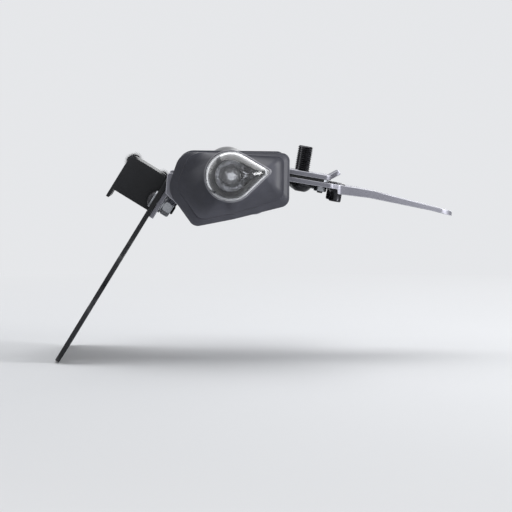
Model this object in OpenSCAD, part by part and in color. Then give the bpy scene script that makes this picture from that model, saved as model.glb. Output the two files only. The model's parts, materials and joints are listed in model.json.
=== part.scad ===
// Tail tidy for a motorbike: folded mounting bracket, number-plate hanger,
// hooded plate lamp and a pair of teardrop indicators.
// Frame: +X towards the front wheel, +Y to the bike's left, +Z up.
// The origin lies midway between the two mounting bolts, on the top face of the
// support plate, where the bike's undertray seats.

/* [Sheet metal] */
// Thickness of the bracket, support plate and hanger sheets
sheet_t = 3; // [2.5:0.5:4]
// Inside radius of the sheet bends
bend_r = 3; // [2:0.5:4]
// Downward slope of the middle of the bracket, in degrees
mid_slope = 9.7; // [8:0.1:11]
// Downward slope of the nose of the bracket, in degrees
nose_slope = 14.5; // [12:0.5:17]
// Backward lean of the hanger from the vertical, in degrees
lean = 31.6; // [26:0.2:36]

/* [Main bracket] */
// Height of the deck's top face above the middle of the seat on the bike
deck_rise = 0.33; // [0:0.01:0.8]
// Length of the level deck
deck_l = 49.4; // [47:0.2:58]
// Length of the rear flange that carries the hanger
flange_l = 33; // [31:1:36]
// Width of the rear flange
flange_w = 100; // [96:1:104]
// Mounting bolts to the bend at the root of the nose
mid_l = 43.6; // [40:0.2:48]
// Length of the nose
nose_l = 56; // [50:1:70]
// Outside width across the two side ears
ears_w = 128; // [124:1:134]
// Height of the side ears below the deck
ear_h = 29; // [28:1:32]
// Width of the sloping middle of the bracket
mid_w = 90; // [86:1:94]
// Width at the root of the nose
nose_root_w = 80; // [76:1:84]
// Width at the tip of the nose
nose_tip_w = 56; // [50:1:64]
// Depth of the nose's turned-down edges at the root
nose_edge_h = 6; // [5:0.5:7]

/* [Support plate and pad] */
// Thickness of the rubber pad between the plates
pad_t = 1.8; // [1.2:0.2:2.6]
// Mounting bolts to the rear edge of the support plate
support_back = 25; // [22:1:27]
// Mounting bolts to the root of the front lip
support_front = 18; // [17:0.5:20]
// Length of the front lip
lip_l = 7.5; // [6:0.5:9]
// Width of the front lip, which stays clear of what is bolted to the studs
lip_w = 32; // [28:1:34]
// Upward curl of the front lip, in degrees
lip_curl = 38; // [25:1:50]

/* [Mounting bolts] */
// Distance between the two mounting bolts
bolt_pitch = 60; // [56:1:62]
// Thread diameter of the mounting bolts
bolt_d = 8; // [6:1:8]
// Thread left standing above the support plate
stud_h = 16; // [12:1:22]
// Distance between the two holes in the nose
nose_pitch = 34; // [30:1:36]
// Diameter of the two holes in the nose
nose_hole_d = 6.5; // [6:0.1:7]

/* [Number-plate hanger] */
// Length of the hanger below the bend
hanger_l = 140; // [130:1:160]
// Full width of the hanger
hanger_w = 170; // [160:1:190]
// Width of the hanger's neck
neck_w = 104; // [100:1:108]
// Length of the neck
neck_l = 48; // [44:1:52]
// Depth of the waist in each side edge
waist_d = 9; // [5:1:12]
// Length of the waist along the side edge
waist_l = 22; // [16:1:26]
// Length of the slots for the plate bolts
slot_l = 26; // [20:1:30]
// Width of the slots for the plate bolts
slot_w = 7; // [7:0.1:8]
// Distance between the two round plate holes
plate_pitch = 60; // [50:1:64]
// Diameter of the two round plate holes
plate_hole_d = 6.5; // [5.5:0.1:7]

/* [Lamp hood] */
// Sheet thickness of the lamp hood
hood_t = 2; // [1.5:0.5:2.5]
// Width of the lamp hood
hood_w = 76; // [72:1:80]
// Depth of the lamp hood behind the hanger
hood_d = 27.3; // [26:0.1:30]
// Height of the lamp hood's cheeks
hood_h = 24.5; // [24:0.5:28]
// Lip that the rear wall shows below the cheeks
hood_lip = 6; // [4:0.5:8]

/* [Indicators] */
// Length of the foot and stem, from the ear to the pod
stem_l = 40; // [36:1:50]
// Thickness of the foot's rim
rim_t = 5.5; // [4.5:0.5:7]
// Rise of the pod's centre above the foot's centre
pod_rise = 8.3; // [4:0.1:12]
// Depth of the pod housing
pod_l = 42; // [38:1:50]
// Radius of the round end of the teardrop pod
pod_r = 15.8; // [14.5:0.1:17]
// Round end's centre to the centre of the teardrop's tip
pod_reach = 23; // [20:0.5:26]
// Wall thickness of the pod, as a share of its outline
pod_wall = 0.1; // [0.09:0.01:0.12]
// Height of the lens dome
lens_h = 14; // [10:0.5:18]
// Thread diameter of the indicator's hollow stud
stem_stud_d = 10; // [8:1:10]
// Bore through the hollow stud
stem_bore_d = 5; // [4:0.5:5.5]

/* [Hidden] */

right = -1;
left = 1;
// Slack round a shank in its hole, and between a nut and its thread
hole_slack = 0.25;
thread_slack = 0.05;
// Overlap that keeps a cut from leaving a skin
cut = 1;
// Taller and longer than any piece that an outline is cut from
cut_span = 200;
// Straight pieces in a rounded corner or a sheet bend
bend_steps = 8;
// Points on each arc of the indicator outlines
arc_steps = 7;

// Heights in the sloping middle's frame, where z = 0 is the support plate's top
bracket_top = -(sheet_t + pad_t);
bracket_mid = bracket_top - sheet_t / 2;
bracket_base = bracket_top - sheet_t;

// Centre line of the main bracket's sheet, in X and Z
deck_mid = deck_rise - sheet_t / 2;
deck_setback = (deck_mid - bracket_mid * cos(mid_slope)) / sin(mid_slope);
deck_bend = [slope_point(-deck_setback, bracket_mid)[0], deck_mid];
deck_end = deck_bend + [-deck_l, 0];
flange_end = deck_end + flange_l * [-sin(lean), -cos(lean)];
nose_bend = slope_point(mid_l, bracket_mid);
nose_dir = [cos(nose_slope), -sin(nose_slope)];
nose_end = nose_bend + nose_l * nose_dir;
deck_top = deck_rise;

// Side ears
ear_y = ears_w / 2;
ear_inner_r = 2;
ear_outer_r = ear_inner_r + sheet_t;
// Flat stretch at each end of the ear's bend, which runs into the deck and the ear
ear_root = 2;
ear_tail_l = 14;
ear_notch = 2.5;
relief_w = 1.5;
shoulder_l = 8;
ear_bend_back = neat(deck_end[0] + 8);
ear_bend_front = neat(deck_bend[0] - 4);

// Washers under the heads of the mounting bolts, and the shank below their thread
mount_washer_t = 1.6;
bolt_shank_d = 0.9 * bolt_d;
// Small screws that clamp the two plates together, with a spacer between the plates
clamp_x = support_front - 5.4;
clamp_d = 4;
clamp_nut_h = 3.2;
clamp_nut_af = 7;
clamp_head_r = 3.8;
// The clamp screws' heads lie this far below the seat
clamp_sunk = 0.3;
clamp_land = 0.3;
clamp_sink = clamp_sunk + clamp_land;
clamp_cone_h = clamp_head_r - clamp_d / 2;
// The pad stands back this far from the support plate's edge
pad_inset = 2;
// Where the lip's bend starts, and where the slots beside it end
lip_start = support_front - (bend_r + sheet_t / 2) * tan(lip_curl / 2);
lip_root = lip_start - 1.2;
spacer_r = 4.5;
// Rivet nuts in the root of the nose
rivet_x = 23.2;
rivet_pitch = 50;
rivet_body_r = 3.9;
rivet_bore_r = 2.15;
rivet_collar_r = 5.2;
rivet_collar_h = 0.8;
rivet_drop = 8.2;
// Holes in the nose, back from its tip
nose_hole_back = 12;
// Turned-down edges of the nose stop this far from its tip
nose_edge_back = 14;
nose_r = 10;
step_l = 5;
step_r = 4;
shoulder_r = 6;
// Window in the nose, its middle back from the tip
window_back = 35.5;
window_l = 27;
window_w = 22;
window_r = 8;
// Wiring grommet in the deck
deck_hole_r = 8;
deck_bore_r = 4;
deck_lip = 2.5;
deck_lip_t = 2.2;
deck_hole = [deck_bend[0] - 22, 0];

// Hanger frame: origin on the hanger's middle plane, level with the deck's end
hanger_at = deck_end + sheet_t * [-cos(lean), sin(lean)];
hanger_top = -6;
hanger_bolt_d = 6;
hanger_bolt_y = 44;
hanger_bolt_z = -22;
hanger_stack = 2 * sheet_t;
hanger_washer_t = 1.2;
hanger_nut_h = 6;
hanger_nut_af = 10;
grommet_bore_r = 2.4;
grommet_lip = 2;
// Outline of the hanger
hanger_r = 14;
shoulder_corner_r = 8;
waist_r = 5;
hanger_grommet_r = 5;
shoulder_drop = 9;
waist_drop = 25;
waist_top = hanger_top - neck_l - waist_drop;
slot_y = 58;
// Rows of plate holes, below the neck and above the foot
upper_row_drop = 15;
lower_row_rise = 16;
plate_row_z = hanger_top - neck_l - upper_row_drop;
lower_row_z = lower_row_rise - hanger_l;

// Lamp: the hood's front wall lies on the hanger's rear face
hood_front = -sheet_t / 2;
hood_back = hood_front - hood_d;
hood_top = hanger_top;
hood_foot = hood_top - hood_h;
lamp_bolt_y = 20;
lamp_bolt_z = -17;
lamp_bolt_d = 4;
lamp_bolt_grip = 7;
lamp_gap = 0.4;
hood_inner_r = 1;
lamp_side_gap = 3;
lamp_w = hood_w - 2 * (hood_t + lamp_side_gap);
lamp_h = 13;
lamp_wall = 3.4;
lamp_hollow = 6;
lamp_screw_d = 2;
lamp_screw_inset = 5;
lamp_boss_r = 2.4;
diode_w = 5;
diode_pitch = 12;
lamp_front = hood_front - hood_t;
lamp_back = hood_back + hood_t + lamp_gap;
lamp_top = hood_top - hood_t - hood_inner_r;
lamp_base = lamp_top - lamp_h;
lamp_mid = (lamp_front + lamp_back) / 2;
board_t = 1.6;
gasket_t = 0.8;
lens_wall = 1.5;
lens_inset = 0.6;
lamp_lens_h = 5.4;
diode_h = 1.2;

// Indicator outlines, in X and Z from the foot's centre: x, z and corner radius
foot_at = [-47.2, -10.2];
foot_corners = [
  [37.2, -10.8, 6], [37.6, 22, 5], [-31, 22.8, 11],
  [-39.6, -1, 14], [-22.8, -24.4, 6], [2, -19.6, 60]
];
pod_at = foot_at + [0.6, pod_rise];
round_at = [-1, 0.5];
tip_at = round_at + pod_reach * [cos(6.5), sin(6.5)];
tip_r = 1.9;
neck_share = 0.82;
stud_rise = 13.5;
stud_at = [foot_at[0], deck_top - ear_h + stud_rise];
stud_depth = 12;
stem_nut_h = 8;
stem_nut_af = 17;
backing_t = 2.5;
backing_w = 28;
backing_up = 9.5;
backing_down = 11;
stud_spare = 3;
foot_y = ear_y;
stem_end_y = foot_y + stem_l;
pod_end_y = stem_end_y + pod_l;
pod_floor_y = stem_end_y + 8;
holder_h = 8;
holder_r = 8;
holder_floor = 3;
bulb_base_r = 4.6;
bulb_r = 6;
bulb_rise = 15.5;
ring_h = 2.6;
reflector_lip = 1;
seat_gap = 0.3;

// Directions and corner rounding

// A length to the nearest thousandth, so that faces which share it lie in one plane
function neat(v) = round(v * 1000) / 1000;
function unit(v) = v / norm(v);
function left_of(d) = [-d[1], d[0]];
function turned(v, a) = [v[0] * cos(a) - v[1] * sin(a), v[0] * sin(a) + v[1] * cos(a)];
function slope_point(x, z) = turned([x, z], -mid_slope);

// Points of an arc, taken at the middles of equal steps so that neighbours don't meet
function arc(c, r, a0, a1, n) =
  [for (k = [0:n - 1]) let (a = a0 + (a1 - a0) * (k + 0.5) / n) c + r * [cos(a), sin(a)]];

// Fillet of radius r at corner b of the path a, b, c
function fillet(a, b, c, r, n) =
  let (u = unit(a - b), v = unit(c - b), half = acos(u * v) / 2,
       centre = b + unit(u + v) * r / sin(half),
       p = b + u * r / tan(half) - centre, q = b + v * r / tan(half) - centre,
       a0 = atan2(p[1], p[0]), sweep = (atan2(q[1], q[0]) - a0 + 540) % 360 - 180)
  arc(centre, r, a0, a0 + sweep, n);

// Closed outline with every corner rounded; a corner is x, y and radius
function rounded(corners, n) =
  let (m = len(corners))
  [for (i = [0:m - 1])
    let (a = corners[(i + m - 1) % m], b = corners[i], c = corners[(i + 1) % m])
    each b[2] > 0
      ? fillet([a[0], a[1]], [b[0], b[1]], [c[0], c[1]], b[2], n)
      : [[b[0], b[1]]]];

// The same, for an outline given by its half at positive y and mirrored
function mirrored(half, n) =
  rounded(concat(half, [for (i = [len(half) - 1:-1:0]) [half[i][0], -half[i][1], half[i][2]]]), n);

// One face of a bent sheet: the centre line's points, moved o to its left
function sheet_side(path, r, o) =
  let (last = len(path) - 1)
  [for (i = [0:last])
    let (d_in = unit(path[max(i, 1)] - path[max(i, 1) - 1]),
         d_out = i < last ? unit(path[i + 1] - path[i]) : d_in,
         side = d_in[0] * d_out[1] - d_in[1] * d_out[0] > 0 ? 1 : -1,
         bend = acos(min(1, d_in * d_out)),
         centre = path[i] - d_in * r * tan(bend / 2) + left_of(d_in) * r * side)
    each (i == 0 || i == last)
      ? [path[i] + left_of(d_in) * o]
      : [for (k = [0:bend_steps])
          centre + turned(left_of(d_in) * -side, side * bend * k / bend_steps) * (r - side * o)]];

// Outline of a sheet of thickness t that is bent along a path
function bent_sheet(path, t, inner_r) =
  let (one = sheet_side(path, inner_r + t / 2, t / 2),
       two = sheet_side(path, inner_r + t / 2, -t / 2))
  concat(one, [for (i = [len(two) - 1:-1:0]) two[i]]);

// Places

module across(w) { rotate([90, 0, 0]) linear_extrude(height = w, center = true) children(); }
module on_slope() { rotate([0, mid_slope, 0]) children(); }
module on_nose() { translate([nose_end[0], 0, nose_end[1]]) rotate([0, nose_slope, 0]) children(); }
module on_hanger() { translate([hanger_at[0], 0, hanger_at[1]]) rotate([0, lean, 0]) children(); }
module both_sides(y) { for (s = [right, left]) translate([0, s * y, 0]) children(); }
module on_side(s) {
  if (s == right) children();
  else mirror([0, 1, 0]) children();
}
// Hole or shank along the hanger's thickness, forwards from x
module forwards(x, z) { translate([x, 0, z]) rotate([0, 90, 0]) children(); }
// Something round on the right-hand side that runs outwards from the distance y
module outwards(at, y) { translate([at[0], -y, at[1]]) rotate([90, 0, 0]) children(); }

// Fasteners, each standing on z = 0 with its shank downwards or its thread upwards

module hex_prism(af, h) { cylinder(r = af / sqrt(3), h = h, $fn = 6); }

module button_screw(d, reach, head_r, head_h, socket_af) {
  cap_r = (head_r * head_r + head_h * head_h) / (2 * head_h);
  difference() {
    intersection() {
      cylinder(r = head_r, h = head_h, $fn = 48);
      translate([0, 0, head_h - cap_r]) sphere(r = cap_r, $fn = 64);
    }
    translate([0, 0, head_h * 0.45]) hex_prism(socket_af, head_h);
  }
  translate([0, 0, -reach]) cylinder(d = d, h = reach, $fn = 48);
}

module hex_nut(d, af, h) {
  difference() {
    intersection() {
      hex_prism(af, h);
      cylinder(r1 = af * 0.5 + h * 0.9, r2 = af * 0.48, h = h, $fn = 48);
    }
    translate([0, 0, -cut]) cylinder(d = d + 2 * thread_slack, h = h + 2 * cut, $fn = 48);
  }
}

module washer(d, outer_r, t) {
  difference() {
    cylinder(r = outer_r, h = t, $fn = 48);
    translate([0, 0, -cut]) cylinder(d = d + 2 * hole_slack, h = t + 2 * cut, $fn = 48);
  }
}

// Rubber grommet round a sheet that lies on z = 0, with a bore for the wiring
module grommet(hole_r, bore_r, lip, lip_t, t) {
  rotate_extrude($fn = 64) polygon([
    [bore_r, -lip_t], [hole_r + lip - 0.8, -lip_t], [hole_r + lip, -lip_t * 0.4],
    [hole_r + lip, 0], [hole_r, 0], [hole_r, t], [hole_r + lip, t],
    [hole_r + lip, t + lip_t * 0.4], [hole_r + lip - 0.8, t + lip_t], [bore_r, t + lip_t]
  ]);
}

// Main bracket

module bracket_plan() {
  relief = ear_bend_back - relief_w;
  front = slope_point(support_front, 0)[0];
  polygon(mirrored([
    [flange_end[0] - 10, flange_w / 2, 0], [relief, flange_w / 2, 1],
    [relief + relief_w, ear_y - ear_outer_r, 0], [ear_bend_front, ear_y - ear_outer_r, 0],
    [ear_bend_front + 1, ear_y - ear_outer_r - sheet_t, 1],
    [deck_bend[0] + shoulder_l, mid_w / 2, shoulder_r], [front, mid_w / 2, step_r],
    [front + step_l, nose_root_w / 2, step_r], [nose_end[0], nose_tip_w / 2, nose_r]
  ], bend_steps));
}

module folded_strip() {
  across(ears_w) polygon(bent_sheet([flange_end, deck_end, deck_bend, nose_bend, nose_end],
                                    sheet_t, bend_r));
}

// Turned-down edges that stiffen the nose and run out towards its tip
module nose_edges() {
  root = slope_point(support_front + step_l, bracket_mid);
  down = nose_edge_h - sheet_t / 2;
  tip = nose_end - nose_edge_back * nose_dir;
  intersection() {
    across(ears_w) polygon([root, nose_bend, tip, tip - [0, sheet_t / 2], nose_bend - [0, down * 0.8],
                            root - [0, down]]);
    linear_extrude(height = cut_span, center = true) difference() {
      bracket_plan();
      polygon([[-cut_span, nose_root_w / 2], [root[0], nose_root_w / 2 - sheet_t],
               [nose_end[0], nose_tip_w / 2 - sheet_t], [nose_end[0], sheet_t - nose_tip_w / 2],
               [root[0], sheet_t - nose_root_w / 2], [-cut_span, -nose_root_w / 2]]);
    }
  }
}

module ear() {
  top = deck_top - ear_outer_r;
  foot = deck_top - ear_h;
  back = ear_bend_back - ear_tail_l;
  translate([0, -ear_y + sheet_t / 2, 0]) across(sheet_t) polygon(rounded([
    [ear_bend_back, top, 0], [ear_bend_back - ear_notch, top, 1],
    [ear_bend_back - ear_notch, deck_top - 1, 1],
    [back - 0.6, deck_top - 1, 2], [back - 1.8, deck_top - 14, 3], [ear_bend_back, foot, 8],
    [ear_bend_front + shoulder_l, foot + 2, 8], [ear_bend_front + 2 * shoulder_l, top - 5, 4],
    [ear_bend_front, top, 0]
  ], bend_steps));
  translate([ear_bend_back, -ear_y + ear_outer_r, top]) rotate([90, 0, 90])
    linear_extrude(height = ear_bend_front - ear_bend_back) {
      intersection() {
        difference() {
          circle(r = ear_outer_r, $fn = 48);
          circle(r = ear_inner_r, $fn = 48);
        }
        translate([-ear_outer_r, 0]) square(ear_outer_r);
      }
      translate([0, ear_inner_r]) square([ear_root, sheet_t]);
      translate([-ear_outer_r, -ear_root]) square([sheet_t, ear_root]);
    }
}

module main_bracket() {
  color("slategray") difference() {
    union() {
      intersection() {
        folded_strip();
        linear_extrude(height = cut_span, center = true) bracket_plan();
      }
      nose_edges();
      for (s = [right, left]) on_side(s) ear();
    }
    on_slope() both_sides(bolt_pitch / 2) translate([0, 0, -20])
      cylinder(d = bolt_d + 2 * hole_slack, h = 40, $fn = 48);
    on_slope() both_sides(bolt_pitch / 2) translate([clamp_x, 0, -20])
      cylinder(d = clamp_d + 2 * hole_slack, h = 40, $fn = 48);
    on_slope() both_sides(rivet_pitch / 2) translate([rivet_x, 0, -20])
      cylinder(r = rivet_body_r, h = 40, $fn = 48);
    on_nose() both_sides(nose_pitch / 2) translate([-nose_hole_back, 0, -10])
      cylinder(d = nose_hole_d, h = 20, $fn = 48);
    on_nose() translate([-window_back, 0, -10]) linear_extrude(height = 20) polygon(mirrored([
      [-window_l / 2, window_w / 2, window_r], [window_l / 2, window_w / 2, window_r]], bend_steps));
    translate([deck_hole[0], deck_hole[1], deck_top - 10]) cylinder(r = deck_hole_r, h = 20, $fn = 64);
    for (s = [right, left]) on_side(s) outwards(stud_at, ear_y - 10)
      cylinder(d = stem_stud_d + 2 * hole_slack, h = 20, $fn = 64);
    on_hanger() {
      both_sides(hanger_bolt_y) forwards(0, hanger_bolt_z)
        cylinder(d = hanger_bolt_d + 2 * hole_slack, h = 10, $fn = 48);
      both_sides(lamp_bolt_y) forwards(0, lamp_bolt_z)
        cylinder(d = lamp_bolt_d + 2 * hole_slack, h = 10, $fn = 48);
      forwards(0, lamp_bolt_z) cylinder(r = hanger_grommet_r, h = 10, $fn = 48);
    }
  }
}

// Support plate, pad and the fasteners of the two plates

module support_plan(inset) {
  polygon(mirrored([
    [-support_back + inset, mid_w / 2 - inset, shoulder_r], [support_front, mid_w / 2 - inset, step_r],
    [support_front, lip_w / 2 + relief_w, 1], [lip_root, lip_w / 2 + relief_w, 0.6],
    [lip_root, lip_w / 2, 0.6], [lip_start, lip_w / 2, 0]
  ], bend_steps));
}

module front_lip() {
  path = [[lip_root - step_l, -sheet_t / 2], [support_front, -sheet_t / 2],
          [support_front, -sheet_t / 2] + lip_l * [cos(lip_curl), sin(lip_curl)]];
  intersection() {
    across(lip_w) polygon(bent_sheet(path, sheet_t, bend_r));
    linear_extrude(height = 4 * lip_l, center = true) polygon(mirrored([
      [-support_front, lip_w / 2, 0], [support_front + lip_l, lip_w / 2, step_r]], bend_steps));
  }
}

module support_plate() {
  color("slategray") on_slope() difference() {
    union() {
      translate([0, 0, -sheet_t]) linear_extrude(height = sheet_t) support_plan(0);
      front_lip();
    }
    both_sides(bolt_pitch / 2) translate([0, 0, -10])
      cylinder(d = bolt_d + 2 * hole_slack, h = 20, $fn = 48);
    both_sides(bolt_pitch / 2) translate([clamp_x, 0, -10])
      cylinder(d = clamp_d + 2 * hole_slack, h = 20, $fn = 48);
    both_sides(bolt_pitch / 2) translate([clamp_x, 0, -clamp_sink - clamp_cone_h])
      cylinder(r1 = clamp_d / 2, r2 = clamp_head_r, h = clamp_cone_h, $fn = 48);
    both_sides(bolt_pitch / 2) translate([clamp_x, 0, -clamp_sink])
      cylinder(r = clamp_head_r + thread_slack, h = 10, $fn = 48);
  }
}

module rubber_pad() {
  washer_room = spacer_r + hole_slack;
  color("black") on_slope() translate([0, 0, bracket_top]) linear_extrude(height = pad_t) difference() {
    intersection() {
      support_plan(pad_inset);
      translate([-ears_w, -ears_w]) square([ears_w + clamp_x + 1, 2 * ears_w]);
    }
    both_sides(bolt_pitch / 2) circle(d = bolt_d + 2 * hole_slack, $fn = 48);
    both_sides(bolt_pitch / 2) translate([clamp_x, 0]) circle(r = washer_room, $fn = 48);
  }
}

// Rolled thread above the seat, and a reduced shank through the plates
module mounting_bolts() {
  color("dimgray") on_slope() both_sides(bolt_pitch / 2) {
    cylinder(d = bolt_d, h = stud_h, $fn = 48);
    translate([0, 0, bracket_base - mount_washer_t]) mirror([0, 0, 1])
      button_screw(bolt_shank_d, cut - bracket_base + mount_washer_t, bolt_d * 0.875, bolt_d * 0.55,
                   bolt_d * 0.625);
  }
}

module mounting_washers() {
  color("silver") on_slope() both_sides(bolt_pitch / 2)
    translate([0, 0, bracket_base - mount_washer_t]) washer(bolt_d, bolt_d, mount_washer_t);
}

// Countersunk screws, so that nothing stands above the seat
module clamp_screws() {
  foot = bracket_base - clamp_nut_h - 1;
  color("dimgray") on_slope() both_sides(bolt_pitch / 2) translate([clamp_x, 0, 0]) {
    difference() {
      union() {
        translate([0, 0, -clamp_sink]) cylinder(r = clamp_head_r, h = clamp_land, $fn = 48);
        translate([0, 0, -clamp_sink - clamp_cone_h])
          cylinder(r1 = clamp_d / 2, r2 = clamp_head_r, h = clamp_cone_h, $fn = 48);
      }
      translate([0, 0, -clamp_sink - clamp_cone_h * 0.7]) hex_prism(clamp_d * 0.625, clamp_cone_h * 2);
    }
    translate([0, 0, foot]) cylinder(d = clamp_d, h = -clamp_sink - clamp_cone_h - foot, $fn = 48);
  }
}

module clamp_nuts() {
  color("gray") on_slope() both_sides(bolt_pitch / 2)
    translate([clamp_x, 0, bracket_base]) mirror([0, 0, 1]) hex_nut(clamp_d, clamp_nut_af, clamp_nut_h);
}

module spacer_washers() {
  color("silver") on_slope() both_sides(bolt_pitch / 2)
    translate([clamp_x, 0, bracket_top]) washer(clamp_d, spacer_r, pad_t);
}

module rivet_nuts() {
  color("dimgray") on_slope() both_sides(rivet_pitch / 2) translate([rivet_x, 0, bracket_top])
    rotate_extrude($fn = 48) polygon([
      [rivet_bore_r, rivet_collar_h], [rivet_collar_r - 0.4, rivet_collar_h], [rivet_collar_r, 0.4],
      [rivet_collar_r, 0], [rivet_body_r, 0], [rivet_body_r, -sheet_t],
      [rivet_collar_r - 0.3, -sheet_t], [rivet_collar_r - 0.2, -sheet_t - 1.2],
      [rivet_body_r, -sheet_t - 2.2], [rivet_body_r, -sheet_t - rivet_drop + 0.5],
      [rivet_body_r - 0.5, -sheet_t - rivet_drop], [rivet_bore_r, -sheet_t - rivet_drop]
    ]);
}

module deck_grommet() {
  color("black") translate([deck_hole[0], deck_hole[1], deck_top - sheet_t])
    grommet(deck_hole_r, deck_bore_r, deck_lip, deck_lip_t, sheet_t);
}

// Number-plate hanger

module hanger_face() {
  side = hanger_w / 2;
  neck_foot = hanger_top - neck_l;
  polygon(rounded([for (s = [1, -1]) each
    let (half = [
      [s * neck_w / 2, hanger_top, 6], [s * neck_w / 2, neck_foot, shoulder_corner_r],
      [s * side, neck_foot - shoulder_drop, shoulder_corner_r], [s * side, waist_top, waist_r],
      [s * (side - waist_d), waist_top - waist_d * 0.6, waist_r],
      [s * (side - waist_d), waist_top - waist_l + waist_d * 0.6, waist_r],
      [s * side, waist_top - waist_l, waist_r], [s * side, -hanger_l, hanger_r]])
    s > 0 ? half : [for (i = [len(half) - 1:-1:0]) half[i]]
  ], bend_steps));
}

module plate_hanger() {
  color("black") on_hanger() rotate([90, 0, 90]) difference() {
    linear_extrude(height = sheet_t, center = true) hanger_face();
    for (row = [plate_row_z, lower_row_z], s = [-1, 1]) translate([s * slot_y, row, -5])
      linear_extrude(height = 10) slot_outline();
    for (s = [-1, 1]) {
      translate([s * plate_pitch / 2, plate_row_z, -5]) cylinder(d = plate_hole_d, h = 10, $fn = 48);
      translate([s * hanger_bolt_y, hanger_bolt_z, -5])
        cylinder(d = hanger_bolt_d + 2 * hole_slack, h = 10, $fn = 48);
      translate([s * lamp_bolt_y, lamp_bolt_z, -5])
        cylinder(d = lamp_bolt_d + 2 * hole_slack, h = 10, $fn = 48);
    }
    translate([0, lamp_bolt_z, -5]) cylinder(r = hanger_grommet_r, h = 10, $fn = 48);
  }
}

module slot_outline() {
  for (s = [-1, 1]) translate([s * (slot_l - slot_w) / 2, 0]) circle(d = slot_w, $fn = 32);
  square([slot_l - slot_w, slot_w], center = true);
}

module hanger_bolts() {
  reach = hanger_stack + 2 * hanger_washer_t + hanger_nut_h + hanger_bolt_d / 4;
  color("dimgray") on_hanger() both_sides(hanger_bolt_y)
    forwards(-sheet_t / 2 - hanger_washer_t, hanger_bolt_z) mirror([0, 0, 1])
      button_screw(hanger_bolt_d, reach, hanger_bolt_d * 0.875, hanger_bolt_d * 0.55,
                   hanger_bolt_d * 2 / 3);
}

module hanger_washers() {
  color("silver") on_hanger() both_sides(hanger_bolt_y)
    for (x = [-sheet_t / 2 - hanger_washer_t, sheet_t * 1.5])
      forwards(x, hanger_bolt_z) washer(hanger_bolt_d, hanger_bolt_d, hanger_washer_t);
}

module hanger_nuts() {
  color("silver") on_hanger() both_sides(hanger_bolt_y)
    forwards(sheet_t * 1.5 + hanger_washer_t, hanger_bolt_z)
      hex_nut(hanger_bolt_d, hanger_nut_af, hanger_nut_h);
}

module hanger_grommet() {
  span = hanger_stack + hood_t;
  color("black") on_hanger() forwards(hood_front - hood_t, lamp_bolt_z)
    rotate_extrude($fn = 48) polygon([
      [grommet_bore_r, 0], [hanger_grommet_r, 0], [hanger_grommet_r, span],
      [hanger_grommet_r + grommet_lip, span], [hanger_grommet_r + grommet_lip * 0.6, span + grommet_lip],
      [grommet_bore_r, span + grommet_lip]
    ]);
}

// Plate lamp and its hood, in the hanger's frame

module lamp_hood() {
  mid = hood_t / 2;
  path = [[hood_front - mid, hood_foot], [hood_front - mid, hood_top - mid],
          [hood_back + mid, hood_top - mid], [hood_back + mid, hood_foot - hood_lip]];
  r = hood_t + hood_inner_r;
  color("#23252c") on_hanger() difference() {
    union() {
      across(hood_w) polygon(bent_sheet(path, hood_t, hood_inner_r));
      both_sides(hood_w / 2 - hood_t / 2) across(hood_t) polygon(rounded([
        [hood_front, hood_foot, 0], [hood_front, hood_top, r], [hood_back, hood_top, r],
        [hood_back, hood_foot, 0]], bend_steps));
    }
    both_sides(lamp_bolt_y) forwards(hood_front - 5, lamp_bolt_z)
      cylinder(d = lamp_bolt_d + 2 * hole_slack, h = 10, $fn = 48);
    forwards(hood_front - 5, lamp_bolt_z) cylinder(r = hanger_grommet_r, h = 10, $fn = 48);
  }
}

module lamp_plan(inset, r) {
  translate([lamp_mid, 0]) polygon(mirrored([
    [(lamp_back - lamp_front) / 2 + inset, lamp_w / 2 - inset, r],
    [(lamp_front - lamp_back) / 2 - inset, lamp_w / 2 - inset, r]], bend_steps));
}

module lamp_body() {
  color("#1c1c1e") on_hanger() difference() {
    translate([0, 0, lamp_base]) linear_extrude(height = lamp_top - lamp_base) lamp_plan(0, 3);
    translate([0, 0, lamp_base - cut]) linear_extrude(height = lamp_hollow + cut)
      lamp_plan(lamp_wall, 1.5);
    both_sides(lamp_bolt_y) forwards(lamp_front - 8, lamp_bolt_z)
      cylinder(d = lamp_bolt_d + 2 * thread_slack, h = 12, $fn = 48);
    forwards(lamp_front - 8, lamp_bolt_z) cylinder(r = grommet_bore_r, h = 12, $fn = 48);
    both_sides(lamp_w / 2 - lamp_screw_inset) translate([lamp_mid, 0, lamp_base - cut])
      cylinder(d = lamp_screw_d + 2 * thread_slack, h = lamp_h - 4, $fn = 24);
  }
}

module lamp_bolts() {
  color("dimgray") on_hanger() both_sides(lamp_bolt_y)
    forwards(sheet_t * 1.5, lamp_bolt_z)
      button_screw(lamp_bolt_d, hanger_stack + hood_t + lamp_bolt_grip, clamp_head_r,
                   lamp_bolt_d * 0.55, lamp_bolt_d * 0.625);
}

module lamp_board() {
  color("darkgreen") on_hanger() translate([0, 0, lamp_base]) linear_extrude(height = board_t)
    difference() {
      lamp_plan(lamp_wall + lamp_gap, 1.2);
      both_sides(lamp_w / 2 - lamp_screw_inset) translate([lamp_mid, 0])
        circle(r = lamp_boss_r + 0.2, $fn = 32);
    }
}

module lamp_diodes() {
  color("ivory") on_hanger() for (i = [-1.5:1:1.5])
    translate([lamp_mid - diode_w / 2, i * diode_pitch - diode_w / 2, lamp_base - diode_h])
      cube([diode_w, diode_w, diode_h]);
}

module lamp_gasket() {
  color("black") on_hanger() translate([0, 0, lamp_base - gasket_t]) linear_extrude(height = gasket_t)
    difference() {
      lamp_plan(lens_inset, 3);
      lamp_plan(lamp_wall, 1.5);
    }
}

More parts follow.
